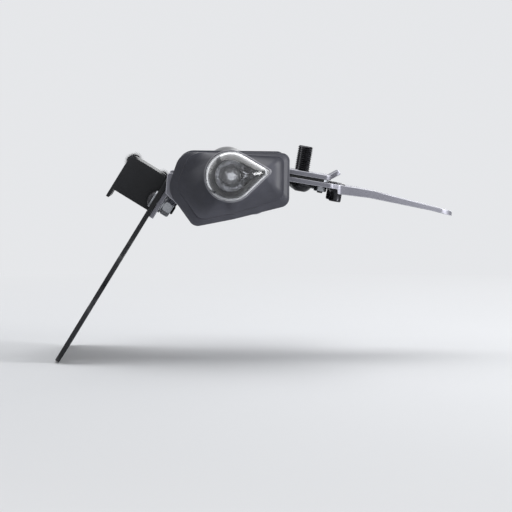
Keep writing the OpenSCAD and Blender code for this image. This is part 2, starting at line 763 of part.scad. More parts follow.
module lamp_lens() {
  top = lamp_base - gasket_t;
  color("lightcyan", 0.5) on_hanger() difference() {
    translate([0, 0, top - lamp_lens_h]) linear_extrude(height = lamp_lens_h)
      lamp_plan(lens_inset, 3);
    translate([0, 0, top - lamp_lens_h + lens_wall]) linear_extrude(height = lamp_lens_h)
      difference() {
        lamp_plan(lens_inset + lens_wall, 2);
        both_sides(lamp_w / 2 - lamp_screw_inset) translate([lamp_mid, 0])
          circle(r = lamp_boss_r, $fn = 32);
      }
    both_sides(lamp_w / 2 - lamp_screw_inset) translate([lamp_mid, 0, top - lamp_lens_h - cut])
      cylinder(d = lamp_screw_d + 2 * hole_slack, h = 2 * lamp_h, $fn = 24);
  }
}

module lamp_lens_screws() {
  foot = lamp_base - gasket_t - lamp_lens_h;
  color("silver") on_hanger() both_sides(lamp_w / 2 - lamp_screw_inset)
    translate([lamp_mid, 0, foot]) mirror([0, 0, 1])
      button_screw(lamp_screw_d, lamp_lens_h + gasket_t + lamp_hollow, lamp_screw_d * 0.95,
                   lamp_screw_d * 0.6, lamp_screw_d * 0.65);
}

// Indicators, modelled on the right-hand side and mirrored for the left

// Teardrop outline about the pod's centre: two arcs at the tip and four round the back
function teardrop() =
  let (v = tip_at - round_at, aim = atan2(v[1], v[0]), spread = acos((pod_r - tip_r) / norm(v)),
       quarter = (360 - 2 * spread) / 4)
  concat(
    arc(tip_at, tip_r, aim - spread, aim, arc_steps),
    arc(tip_at, tip_r, aim, aim + spread, arc_steps),
    [for (k = [0:3]) each
      arc(round_at, pod_r, aim + spread + k * quarter, aim + spread + (k + 1) * quarter, arc_steps)]
  );

function placed(outline, at, share) = [for (p = outline) at + p * share];
function between(a, b, t) = [for (i = [0:len(a) - 1]) a[i] * (1 - t) + b[i] * t];
function ring(outline, y) = [for (p = outline) [p[0], -y, p[1]]];
function pod_ring(y, share) = ring(placed(teardrop(), pod_at, share), y);

// Skin over a row of rings with as many points each; a tube joins its last ring to its first
module loft(rings, tube = false) {
  n = len(rings[0]);
  m = len(rings);
  spans = tube ? m : m - 1;
  sides = [for (j = [0:spans - 1], i = [0:n - 1]) each
    let (a = j * n + i, b = j * n + (i + 1) % n, next = (j + 1) % m,
         c = next * n + (i + 1) % n, d = next * n + i)
    [[a, d, c], [a, c, b]]];
  caps = tube ? [] : [[for (i = [0:n - 1]) i], [for (i = [n - 1:-1:0]) (m - 1) * n + i]];
  polyhedron(points = [for (r = rings) each r], faces = concat(sides, caps));
}

// The moulded foot: a rim, then a concave flare that closes to the pod's teardrop neck
module stem(s) {
  foot = placed(rounded(foot_corners, arc_steps), foot_at, 1);
  neck = placed(teardrop(), pod_at, neck_share);
  rim_y = foot_y + rim_t;
  flare_share = 0.22;
  flare_steps = 9;
  color("#3b3d46") on_side(s) difference() {
    loft(concat(
      [ring(foot, foot_y), ring(foot, rim_y - 0.8), ring(between(foot, neck, 0.02), rim_y),
       ring(between(foot, neck, 0.2), rim_y + 1.2)],
      [for (k = [0:flare_steps]) let (a = 90 * k / flare_steps)
        ring(between(foot, neck, flare_share + (1 - flare_share) * sin(a)),
             rim_y + 2 + (stem_end_y - rim_y - 2) * (1 - cos(a)))]
    ));
    outwards(stud_at, foot_y - cut) cylinder(d = stem_stud_d, h = stud_depth + cut, $fn = 48);
  }
}

module stud(s) {
  inner = foot_y - sheet_t - backing_t - stem_nut_h - stud_spare;
  color("silver") on_side(s) outwards(stud_at, inner) difference() {
    cylinder(d = stem_stud_d, h = foot_y + stud_depth - inner, $fn = 48);
    translate([0, 0, -cut]) cylinder(d = stem_bore_d, h = 2 * stem_l, $fn = 32);
  }
}

module backing_plate(s) {
  color("silver") on_side(s) outwards(stud_at, foot_y - sheet_t - backing_t) difference() {
    linear_extrude(height = backing_t) polygon(rounded([
      [-backing_w / 2, -backing_down, 4], [backing_w / 2, -backing_down, 4],
      [backing_w / 2, backing_up, 4], [-backing_w / 2, backing_up, 4]], bend_steps));
    translate([0, 0, -cut]) cylinder(d = stem_stud_d + 2 * hole_slack, h = 10, $fn = 48);
  }
}

module stem_nut(s) {
  color("silver") on_side(s) outwards(stud_at, foot_y - sheet_t - backing_t) mirror([0, 0, 1])
    hex_nut(stem_stud_d, stem_nut_af, stem_nut_h);
}

module pod(s) {
  inner = 1 - pod_wall;
  color("#2b2c33") on_side(s) loft([
    pod_ring(stem_end_y, neck_share), pod_ring(stem_end_y + 3, neck_share + 0.015),
    pod_ring(stem_end_y + 8, 0.89), pod_ring(stem_end_y + 14, 0.95), pod_ring(stem_end_y + 22, 0.985),
    pod_ring(pod_end_y, 1), pod_ring(pod_end_y, inner), pod_ring(stem_end_y + 18, inner - 0.03),
    pod_ring(pod_floor_y + 2, inner - 0.12), pod_ring(pod_floor_y, inner - 0.2)
  ]);
}

module bulb_holder(s) {
  color("dimgray") on_side(s) outwards(pod_at + round_at * 0.4, pod_floor_y) difference() {
    cylinder(r = holder_r, h = holder_h, $fn = 48);
    translate([0, 0, holder_floor]) cylinder(r = bulb_base_r + 0.1, h = holder_h, $fn = 48);
  }
}

module bulb(s) {
  color("silver") on_side(s) outwards(pod_at + round_at * 0.4, pod_floor_y + holder_floor)
    rotate_extrude($fn = 40) polygon(concat(
      [[0, 0], [bulb_base_r, 0], [bulb_base_r, bulb_rise - 7], [bulb_base_r - 1, bulb_rise - 6]],
      [for (a = [-50:14:90]) [bulb_r * cos(a), bulb_rise + (bulb_r + 0.4) * sin(a)]]
    ));
}

module reflector(s) {
  depth = pod_end_y - pod_floor_y - holder_h - seat_gap;
  steps = 7;
  wall = 1.2;
  hole = 0.36;
  bowl = 1 - pod_wall - 0.03;
  color("gainsboro") on_side(s) loft(concat(
    [pod_ring(pod_end_y + reflector_lip, 0.95), pod_ring(pod_end_y + reflector_lip, bowl - 0.05)],
    [for (k = [1:steps]) let (a = 90 * k / steps)
      pod_ring(pod_end_y - (depth - wall) * sin(a), hole + (bowl - 0.05 - hole) * cos(a))],
    [for (k = [steps:-1:1]) let (a = 90 * k / steps)
      pod_ring(pod_end_y - depth * sin(a), hole + (bowl - hole) * cos(a))],
    [pod_ring(pod_end_y, bowl), pod_ring(pod_end_y, 0.95)]
  ), tube = true);
}

module trim_ring(s) {
  lip_y = pod_end_y + reflector_lip;
  color("silver") on_side(s) loft([
    pod_ring(pod_end_y, 0.96), pod_ring(pod_end_y, 1), pod_ring(lip_y, 1.005),
    pod_ring(pod_end_y + ring_h, 0.975), pod_ring(pod_end_y + ring_h, 0.9),
    pod_ring(lip_y, 0.9), pod_ring(lip_y, 0.96)
  ], tube = true);
}

module lens(s) {
  base = pod_end_y + ring_h;
  wall = 1.8;
  steps = 8;
  top = 84;
  color("white", 0.4) on_side(s) loft(concat(
    [for (k = [0:steps]) let (a = top * (1 - k / steps))
      pod_ring(base + (lens_h - wall) * sin(a), 0.86 * cos(a))],
    [for (k = [0:steps]) let (a = top * k / steps)
      pod_ring(base + lens_h * sin(a), 0.95 * cos(a))]
  ));
}

main_bracket();
support_plate();
rubber_pad();
mounting_bolts();
mounting_washers();
clamp_screws();
clamp_nuts();
spacer_washers();
rivet_nuts();
deck_grommet();
plate_hanger();
hanger_bolts();
hanger_washers();
hanger_nuts();
hanger_grommet();
lamp_hood();
lamp_body();
lamp_bolts();
lamp_board();
lamp_diodes();
lamp_gasket();
lamp_lens();
lamp_lens_screws();
stem(right);  // right_stem
stud(right);  // right_stud
backing_plate(right);  // right_backing_plate
stem_nut(right);  // right_stem_nut
pod(right);  // right_pod
bulb_holder(right);  // right_bulb_holder
bulb(right);  // right_bulb
reflector(right);  // right_reflector
trim_ring(right);  // right_trim_ring
lens(right);  // right_lens
stem(left);  // left_stem
stud(left);  // left_stud
backing_plate(left);  // left_backing_plate
stem_nut(left);  // left_stem_nut
pod(left);  // left_pod
bulb_holder(left);  // left_bulb_holder
bulb(left);  // left_bulb
reflector(left);  // left_reflector
trim_ring(left);  // left_trim_ring
lens(left);  // left_lens
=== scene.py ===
"""Looks of the tail tidy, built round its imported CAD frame.

The frame's solids that are finished as they are only take a material. Folded sheet gets its edges
broken, and fasteners, the plate lamp's diodes and the two indicators are built again in finer form,
each in the place that its solid holds. Sizes are in millimetres of the part's frame unless a name or
a docstring says otherwise.
"""

from __future__ import annotations

import json
import logging
import math
from dataclasses import dataclass, field
from enum import Enum
from typing import Callable, Sequence

import bmesh
import bpy
from mathutils import Matrix, Vector


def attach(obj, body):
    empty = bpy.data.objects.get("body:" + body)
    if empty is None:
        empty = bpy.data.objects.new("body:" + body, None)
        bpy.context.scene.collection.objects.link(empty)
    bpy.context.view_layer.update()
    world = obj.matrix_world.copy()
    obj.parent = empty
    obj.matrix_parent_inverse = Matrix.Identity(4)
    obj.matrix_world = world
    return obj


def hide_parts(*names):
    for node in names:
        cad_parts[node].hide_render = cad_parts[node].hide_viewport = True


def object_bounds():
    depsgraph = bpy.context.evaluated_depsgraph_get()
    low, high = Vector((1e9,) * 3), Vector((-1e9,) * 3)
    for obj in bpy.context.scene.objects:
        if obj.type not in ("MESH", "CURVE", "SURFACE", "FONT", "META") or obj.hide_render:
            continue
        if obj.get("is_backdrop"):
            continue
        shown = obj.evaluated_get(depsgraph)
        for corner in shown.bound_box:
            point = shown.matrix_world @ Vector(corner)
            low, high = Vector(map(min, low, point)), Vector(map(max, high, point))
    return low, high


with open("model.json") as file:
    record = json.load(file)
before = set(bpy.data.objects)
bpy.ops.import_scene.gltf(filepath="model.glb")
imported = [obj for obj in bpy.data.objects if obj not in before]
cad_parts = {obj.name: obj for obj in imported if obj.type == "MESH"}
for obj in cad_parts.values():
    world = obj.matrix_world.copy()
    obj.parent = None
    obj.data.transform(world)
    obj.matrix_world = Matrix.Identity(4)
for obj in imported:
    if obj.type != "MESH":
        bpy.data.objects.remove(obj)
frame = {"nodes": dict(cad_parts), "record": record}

log = logging.getLogger("tail_tidy")
MM = 0.001
ROOT = "root"
Ring = list[Vector]
Outline = list[tuple[float, float]]
Colour = tuple[float, float, float]

# Face attribute that marks broken edges
EDGE_MARK = "edge"
# Nearly all of a noise's values lie in this range
NOISE_RANGE = (0.3, 0.7)
# A thread's rings in one turn, its depth as a share of the pitch, and the share of it that is flat
# at the root and again at the crest
ROWS_PER_TURN = 8
THREAD_DEPTH = 0.54
ROOT_FLAT = 0.125
# The thread starts this far past the plain shank's end
RUNOUT = 0.2
# A nut's bore is wider than its bolt by this much
NUT_SLACK = 0.1
# The floor lies this far under the object, in metres
FLOOR_GAP = 0.2 * MM


class Slot(Enum):
    """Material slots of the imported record."""

    SATIN_STEEL = "satin_steel"
    POWDER_COAT = "black_powder_coat"
    RUBBER = "black_rubber"
    BLACK_SCREW = "black_screw"
    ZINC = "zinc_steel"
    LAMP_PLASTIC = "lamp_plastic"
    CIRCUIT_BOARD = "circuit_board"
    DIODE_CAP = "diode_cap"
    CLEAR_PLASTIC = "clear_plastic"
    STEM_RUBBER = "stem_rubber"
    POD_PLASTIC = "pod_plastic"
    BULB_GLASS = "silvered_glass"
    REFLECTOR = "bright_reflector"
    GREY_TRIM = "grey_trim"


class Side(Enum):
    """Side of the bike, as the sign of Y."""

    RIGHT = -1
    LEFT = 1


class NodeBoard:
    """Wires one material's nodes up to its Principled shader."""

    def __init__(self, name: str) -> None:
        """Makes the material.

        Args:
            name: the finish's name.
        """
        self.material = bpy.data.materials.new(f"{name}_finish")
        self.material.use_nodes = True
        self.tree = self.material.node_tree
        self.shader = self.tree.nodes["Principled BSDF"]
        self.place = self.add("ShaderNodeTexCoord").outputs["Object"]

    def add(self, kind: str) -> bpy.types.Node:
        """Returns a new node of that kind."""
        return self.tree.nodes.new(kind)

    def link(self, source: bpy.types.NodeSocket, target: bpy.types.NodeSocket) -> None:
        """Joins two sockets."""
        self.tree.links.new(source, target)

    def fixed(self, **values: float | Colour) -> None:
        """Sets values that are the same all over on the shader's own sockets.

        Args:
            values: socket names, with _ for a space, and what each is set to.
        """
        for name, value in values.items():
            socket = self.shader.inputs[name.replace("_", " ")]
            socket.default_value = (*value, 1.0) if isinstance(value, tuple) else value

    def into(self, name: str, source: bpy.types.NodeSocket) -> None:
        """Links a socket to one of the shader's inputs."""
        self.link(source, self.shader.inputs[name])

    def stretched(self, along: tuple[float, float, float]) -> bpy.types.NodeSocket:
        """Scales the place along each axis.

        Args:
            along: factor for X, Y and Z; a small one draws a pattern out along that axis.

        Returns:
            The scaled place.
        """
        node = self.add("ShaderNodeMapping")
        node.inputs["Scale"].default_value = along
        self.link(self.place, node.inputs["Vector"])
        return node.outputs["Vector"]

    def noise(
        self,
        size: float,
        detail: float = 3.0,
        place: bpy.types.NodeSocket | None = None,
    ) -> bpy.types.NodeSocket:
        """Reads cloudy noise.

        Args:
            size: width of one cloud in millimetres.
            detail: octaves of finer noise.
            place: where to read it, instead of the plain place.

        Returns:
            The noise, mostly between 0.3 and 0.7.
        """
        node = self.add("ShaderNodeTexNoise")
        node.inputs["Scale"].default_value = 1.0 / (size * MM)
        node.inputs["Detail"].default_value = detail
        self.link(place or self.place, node.inputs["Vector"])
        return node.outputs["Fac"]

    def cells(self, size: float) -> bpy.types.NodeSocket:
        """Reads a field of scattered dimples.

        Args:
            size: width of one dimple in millimetres.

        Returns:
            The distance to the nearest dimple's middle.
        """
        node = self.add("ShaderNodeTexVoronoi")
        node.inputs["Scale"].default_value = 1.0 / (size * MM)
        self.link(self.place, node.inputs["Vector"])
        return node.outputs["Distance"]

    def span(
        self, value: bpy.types.NodeSocket, low: float, high: float, start: float, end: float
    ) -> bpy.types.NodeSocket:
        """Brings a value from one range to another.

        Args:
            value: the value.
            low: lower end of the range that it comes from.
            high: upper end of that range.
            start: what low becomes.
            end: what high becomes.

        Returns:
            The value in its new range.
        """
        node = self.add("ShaderNodeMapRange")
        for socket, number in zip(node.inputs[1:5], (low, high, start, end)):
            socket.default_value = number
        self.link(value, node.inputs["Value"])
        return node.outputs["Result"]

    def product(
        self, first: bpy.types.NodeSocket, second: bpy.types.NodeSocket
    ) -> bpy.types.NodeSocket:
        """Multiplies two values.

        Args:
            first: one value.
            second: the other one.

        Returns:
            Their product.
        """
        node = self.add("ShaderNodeMath")
        node.operation = "MULTIPLY"
        self.link(first, node.inputs[0])
        self.link(second, node.inputs[1])
        return node.outputs["Value"]

    def blend(
        self,
        share: bpy.types.NodeSocket,
        first: Colour | bpy.types.NodeSocket,
        second: Colour | bpy.types.NodeSocket,
    ) -> bpy.types.NodeSocket:
        """Mixes two colours.

        Args:
            share: 0 gives the first colour and 1 the second.
            first: a colour or a socket.
            second: a colour or a socket.

        Returns:
            The mixed colour.
        """
        node = self.add("ShaderNodeMix")
        node.data_type = "RGBA"
        self.link(share, node.inputs["Factor"])
        for socket, colour in ((node.inputs[6], first), (node.inputs[7], second)):
            if isinstance(colour, tuple):
                socket.default_value = (*colour, 1.0)
            else:
                self.link(colour, socket)
        return node.outputs[2]

    def bump(
        self,
        height: bpy.types.NodeSocket,
        depth: float,
        strength: float = 1.0,
        under: bpy.types.NodeSocket | None = None,
    ) -> bpy.types.NodeSocket:
        """Raises the surface by a height.

        Args:
            height: value from 0 to 1.
            depth: height of a full step in millimetres.
            strength: share of the effect.
            under: a normal to add to.

        Returns:
            The raised surface's normal.
        """
        node = self.add("ShaderNodeBump")
        node.inputs["Strength"].default_value = strength
        node.inputs["Distance"].default_value = depth * MM
        self.link(height, node.inputs["Height"])
        if under is not None:
            self.link(under, node.inputs["Normal"])
        return node.outputs["Normal"]

    def worn_edges(self, size: float, reach: float) -> bpy.types.NodeSocket:
        """Finds worn patches along broken edges, from the mark that EdgeBreak leaves on faces.

        Args:
            size: width of a patch in millimetres.
            reach: share of the edge that is worn, from 0 to 1.

        Returns:
            1 in a patch and 0 elsewhere.
        """
        mark = self.add("ShaderNodeAttribute")
        mark.attribute_name = EDGE_MARK
        patches = self.span(self.noise(size, 4.0), 0.62 - 0.3 * reach, 0.7 - 0.3 * reach, 0.0, 1.0)
        return self.product(mark.outputs["Fac"], patches)


# Materials made so far, by the finish's name
MADE: dict[str, bpy.types.Material] = {}


@dataclass(frozen=True)
class Finish:
    """A surface finish; each kind says how its material is made."""

    name: str

    def material(self) -> bpy.types.Material:
        """Makes the finish's material the first time that it is asked for.

        Returns:
            The material.
        """
        if self.name not in MADE:
            MADE[self.name] = self.make()
        return MADE[self.name]

    def make(self) -> bpy.types.Material:
        """Makes the material."""
        raise NotImplementedError


@dataclass(frozen=True)
class SatinSteel(Finish):
    """Bead-blasted and lightly brushed sheet steel, polished at its broken edges."""

    light: Colour = (0.24, 0.24, 0.27)
    dark: Colour = (0.175, 0.175, 0.2)
    edge: Colour = (0.46, 0.46, 0.5)
    rough: tuple[float, float] = (0.42, 0.56)

    def make(self) -> bpy.types.Material:
        """Lays clouds of tone, fine brushing across the width and polished edges on grey metal.

        Returns:
            The material.
        """
        board = NodeBoard(self.name)
        clouds = board.noise(38.0, 5.0)
        brushing = board.noise(0.55, 4.0, board.stretched((1.0, 0.04, 1.0)))
        body = board.blend(board.span(clouds, 0.35, 0.65, 0.0, 1.0), self.dark, self.light)
        grain = board.blend(board.span(brushing, *NOISE_RANGE, 0.0, 0.35), body, self.dark)
        worn = board.worn_edges(9.0, 0.9)
        board.into("Base Color", board.blend(worn, grain, self.edge))
        board.into("Roughness", board.span(brushing, 0.25, 0.75, *self.rough))
        fine = board.bump(brushing, 0.02, 0.35)
        board.into("Normal", board.bump(board.noise(0.35, 2.0), 0.015, 0.3, fine))
        board.fixed(Metallic=1.0)
        return board.material


@dataclass(frozen=True)
class PowderCoat(Finish):
    """Baked black powder over steel, with its orange-peel skin and rubbed edges."""

    deep: Colour = (0.009, 0.0095, 0.0115)
    dusty: Colour = (0.016, 0.017, 0.02)
    rubbed: Colour = (0.06, 0.062, 0.07)
    rough: tuple[float, float] = (0.38, 0.5)
    gloss: float = 0.32

    def make(self) -> bpy.types.Material:
        """Gives near-black satin a fine pebbled skin and a little dust.

        Returns:
            The material.
        """
        board = NodeBoard(self.name)
        dust = board.noise(24.0, 6.0)
        peel = board.noise(0.9, 2.0)
        body = board.blend(board.span(dust, 0.42, 0.68, 0.0, 1.0), self.deep, self.dusty)
        worn = board.worn_edges(4.0, 0.35)
        board.into("Base Color", board.blend(worn, body, self.rubbed))
        board.into("Roughness", board.span(dust, *NOISE_RANGE, *self.rough))
        board.into("Normal", board.bump(peel, 0.06, 0.45))
        board.fixed(IOR=1.5, Specular_IOR_Level=self.gloss)
        return board.material


@dataclass(frozen=True)
class Plated(Finish):
    """Turned or pressed steel with a thin plated or blackened skin."""

    light: Colour = (0.40, 0.41, 0.43)
    dark: Colour = (0.26, 0.27, 0.29)
    edge: Colour = (0.62, 0.62, 0.63)
    rough: tuple[float, float] = (0.22, 0.38)
    metallic: float = 1.0

    def make(self) -> bpy.types.Material:
        """Mottles the metal and adds fine tool marks.

        Returns:
            The material.
        """
        board = NodeBoard(self.name)
        mottle = board.noise(2.6, 5.0)
        marks = board.noise(0.22, 3.0)
        body = board.blend(board.span(mottle, 0.35, 0.68, 0.0, 1.0), self.dark, self.light)
        worn = board.worn_edges(1.5, 0.8)
        board.into("Base Color", board.blend(worn, body, self.edge))
        board.into("Roughness", board.span(mottle, *NOISE_RANGE, *self.rough))
        board.into("Normal", board.bump(marks, 0.012, 0.3))
        board.fixed(Metallic=self.metallic)
        return board.material


@dataclass(frozen=True)
class Moulded(Finish):
    """Moulded rubber or plastic with a grain from the mould."""

    light: Colour = (0.03, 0.03, 0.034)
    dark: Colour = (0.02, 0.02, 0.023)
    rough: tuple[float, float] = (0.45, 0.6)
    grain: float = 0.5
    depth: float = 0.03
    gloss: float = 0.5

    def make(self) -> bpy.types.Material:
        """Gives satin plastic a pebbled grain and slow changes of tone.

        Returns:
            The material.
        """
        board = NodeBoard(self.name)
        tone = board.noise(16.0, 4.0)
        pebbles = board.cells(self.grain)
        flow = board.noise(0.5 * self.grain, 2.0)
        body = board.blend(board.span(tone, 0.35, 0.65, 0.0, 1.0), self.dark, self.light)
        board.into("Base Color", body)
        board.into("Roughness", board.span(tone, *NOISE_RANGE, *self.rough))
        skin = board.bump(pebbles, self.depth, 0.5)
        board.into("Normal", board.bump(flow, 0.5 * self.depth, 0.3, skin))
        board.fixed(IOR=1.5, Specular_IOR_Level=self.gloss)
        return board.material


@dataclass(frozen=True)
class ClearPlastic(Finish):
    """Clear moulded lens with faint flow lines."""

    tint: Colour = (0.9, 0.91, 0.93)
    rib: float = 0.0

    def make(self) -> bpy.types.Material:
        """Gives clear plastic its flow lines, and ribs across it where the lens has them.

        Returns:
            The material.
        """
        board = NodeBoard(self.name)
        flow = board.noise(9.0, 2.0)
        board.into("Roughness", board.span(flow, *NOISE_RANGE, 0.0, 0.02))
        tint = board.blend(flow, self.tint, tuple(min(1.0, c * 1.05) for c in self.tint))
        board.into("Base Color", tint)
        normal = board.bump(flow, 0.08, 0.25)
        if self.rib:
            wave = board.add("ShaderNodeTexWave")
            wave.bands_direction = "Y"
            wave.inputs["Scale"].default_value = 0.314 / (self.rib * MM)
            board.link(board.place, wave.inputs["Vector"])
            normal = board.bump(wave.outputs["Fac"], 0.3, 0.5, normal)
        board.into("Normal", normal)
        board.fixed(Transmission_Weight=1.0, IOR=1.49)
        return board.material


@dataclass(frozen=True)
class Mirror(Finish):
    """Metallised plastic or silvered glass."""

    light: Colour = (0.9, 0.9, 0.92)
    dark: Colour = (0.78, 0.78, 0.81)
    rough: tuple[float, float] = (0.05, 0.14)
    facet: float = 3.0
    facet_h: float = 0.25
    metallic: float = 1.0
    dimple: float = 0.35

    def make(self) -> bpy.types.Material:
        """Dimples the bright surface, so that it spreads the light.

        Returns:
            The material.
        """
        board = NodeBoard(self.name)
        mist = board.noise(6.0, 4.0)
        board.into("Base Color", board.blend(mist, self.dark, self.light))
        board.into("Roughness", board.span(mist, *NOISE_RANGE, *self.rough))
        board.into("Normal", board.bump(board.cells(self.facet), self.facet_h, self.dimple))
        board.fixed(Metallic=self.metallic)
        return board.material


@dataclass(frozen=True)
class CircuitBoard(Finish):
    """White solder mask with tracks showing faintly through it."""

    mask: Colour = (0.62, 0.65, 0.63)
    track: Colour = (0.42, 0.47, 0.44)

    def make(self) -> bpy.types.Material:
        """Lets square tracks show through the pale mask.

        Returns:
            The material.
        """
        board = NodeBoard(self.name)
        bricks = board.add("ShaderNodeTexBrick")
        bricks.inputs["Scale"].default_value = 1.0 / (6.0 * MM)
        bricks.inputs["Mortar Size"].default_value = 0.04
        turned = board.add("ShaderNodeMapping")
        turned.inputs["Rotation"].default_value = (0.0, 0.0, math.radians(90))
        board.link(board.place, turned.inputs["Vector"])
        board.link(turned.outputs["Vector"], bricks.inputs["Vector"])
        board.into("Base Color", board.blend(bricks.outputs["Fac"], self.mask, self.track))
        board.into("Roughness", board.span(board.noise(3.0), *NOISE_RANGE, 0.3, 0.42))
        board.into("Normal", board.bump(bricks.outputs["Fac"], 0.04, 0.5))
        return board.material


@dataclass(frozen=True)
class DiodeCap(Finish):
    """Yellow phosphor under clear silicone."""

    middle: Colour = (0.85, 0.62, 0.1)
    edge: Colour = (0.72, 0.42, 0.05)

    def make(self) -> bpy.types.Material:
        """Gives the yellow dome its fine grains and its clear coat.

        Returns:
            The material.
        """
        board = NodeBoard(self.name)
        grains = board.noise(0.3, 3.0)
        board.into("Base Color", board.blend(grains, self.edge, self.middle))
        board.into("Roughness", board.span(grains, *NOISE_RANGE, 0.18, 0.3))
        board.into("Normal", board.bump(grains, 0.02, 0.4))
        board.fixed(Subsurface_Weight=0.2, Coat_Weight=0.6)
        return board.material


FINISHES: dict[Slot, Finish] = {
    Slot.SATIN_STEEL: SatinSteel("satin_steel"),
    Slot.POWDER_COAT: PowderCoat("black_powder_coat"),
    Slot.RUBBER: Moulded(
        "black_rubber", light=(0.022, 0.022, 0.024), dark=(0.012, 0.012, 0.013), rough=(0.6, 0.78), grain=0.4
    ),
    Slot.BLACK_SCREW: Plated(
        "black_screw", light=(0.06, 0.06, 0.065), dark=(0.03, 0.03, 0.034), edge=(0.3, 0.3, 0.31),
        rough=(0.25, 0.4),
    ),
    Slot.ZINC: Plated("zinc_steel"),
    Slot.LAMP_PLASTIC: Moulded(
        "lamp_plastic", light=(0.02, 0.02, 0.022), dark=(0.013, 0.013, 0.015), rough=(0.38, 0.5), grain=0.4
    ),
    Slot.CIRCUIT_BOARD: CircuitBoard("circuit_board"),
    Slot.DIODE_CAP: DiodeCap("diode_cap"),
    Slot.CLEAR_PLASTIC: ClearPlastic("clear_plastic"),
    Slot.STEM_RUBBER: Moulded(
        "stem_rubber", light=(0.062, 0.063, 0.078), dark=(0.045, 0.046, 0.058), rough=(0.42, 0.54),
        grain=0.45, depth=0.02, gloss=0.35,
    ),
    Slot.POD_PLASTIC: Moulded(
        "pod_plastic", light=(0.022, 0.023, 0.027), dark=(0.014, 0.015, 0.018), rough=(0.3, 0.42),
        grain=0.3, depth=0.01,
    ),
    Slot.BULB_GLASS: Mirror(
        "bulb_glass", light=(0.95, 0.95, 0.96), dark=(0.86, 0.86, 0.88), rough=(0.12, 0.2), facet=1.7,
        metallic=0.5, dimple=0.8,
    ),
    Slot.REFLECTOR: Mirror(
        "bright_reflector", light=(0.97, 0.97, 0.98), dark=(0.9, 0.9, 0.92), rough=(0.16, 0.26), facet=2.4,
        dimple=0.9,
    ),
    Slot.GREY_TRIM: Moulded(
        "grey_trim", light=(0.2, 0.2, 0.22), dark=(0.15, 0.15, 0.17), rough=(0.3, 0.42), grain=0.3, depth=0.01
    ),
}
RIBBED_LENS = ClearPlastic("ribbed_clear_plastic", rib=2.4)
# Black matt finish of the reflector's upper wall: painted shade standing in for the chrome bowl's dark
# reflection
SHADE_BAND = Moulded(
    "matt_bezel", light=(0.011, 0.011, 0.014), dark=(0.007, 0.007, 0.009), rough=(0.7, 0.85), grain=0.4,
    depth=0.02, gloss=0.15,
)


@dataclass(frozen=True)
class Layout:
    """Driving dimensions of the part, and the frames that its sub-assemblies stand in."""

    sheet_t: float = 3.0
    pad_t: float = 1.8
    mid_slope: float = 9.7
    lean: float = 31.6
    deck_rise: float = 0.33
    deck_l: float = 49.4
    ears_w: float = 128.0
    ear_h: float = 29.0

    @property
    def bracket_top(self) -> float:
        """Height of the bracket's top face in the sloping frame."""
        return -(self.sheet_t + self.pad_t)

    @property
    def bracket_base(self) -> float:
        """Height of the bracket's underside in the sloping frame."""
        return self.bracket_top - self.sheet_t

    @property
    def slope(self) -> Matrix:
        """Frame of the sloping middle, with z = 0 on the support plate's top."""
        return Matrix.Rotation(math.radians(self.mid_slope), 4, "Y")

    @property
    def deck_end(self) -> tuple[float, float]:
        """Works out the bend between the deck and the rear flange.

        Returns:
            X and Z on the sheet's middle.
        """
        middle = self.bracket_top - self.sheet_t / 2
        height = self.deck_rise - self.sheet_t / 2
        slope = math.radians(self.mid_slope)
        setback = (height - middle * math.cos(slope)) / math.sin(slope)
        bend = -setback * math.cos(slope) + middle * math.sin(slope)
        return bend - self.deck_l, height

    @property
    def hanger(self) -> Matrix:
        """Stands the hanger's frame up at the deck's end.

        Returns:
            A frame with x forwards through the hanger's thickness and z up along it.
        """
        lean = math.radians(self.lean)
        x, z = self.deck_end
        start = Vector((x - self.sheet_t * math.cos(lean), 0.0, z + self.sheet_t * math.sin(lean)))
        return Matrix.Translation(start) @ Matrix.Rotation(lean, 4, "Y")

    def through_hanger(self, x: float, y: float, z: float) -> list[Matrix]:
        """Places a pair of fasteners in the hanger's frame.

        Args:
            x: distance forwards from the hanger's middle plane.
            y: distance of each from the middle.
            z: height along the hanger.

        Returns:
            A frame for each, whose z runs forwards through the hanger.
        """
        forwards = Matrix.Rotation(math.radians(90), 4, "Y")
        return [self.hanger @ Matrix.Translation((x, side.value * y, z)) @ forwards for side in Side]


LAYOUT = Layout()
DOWN = Matrix.Rotation(math.radians(180), 4, "X")
SLOT_OF = {row["node"]: Slot(row["material_slot"]) for row in frame["record"]["subparts"]}


def placed(name: str, data: bpy.types.ID) -> bpy.types.Object:
    """Puts data into the scene.

    Args:
        name: the object's name.
        data: its mesh, lamp or camera.

    Returns:
        The new object.
    """
    made = bpy.data.objects.new(name, data)
    bpy.context.scene.collection.objects.link(made)
    return made


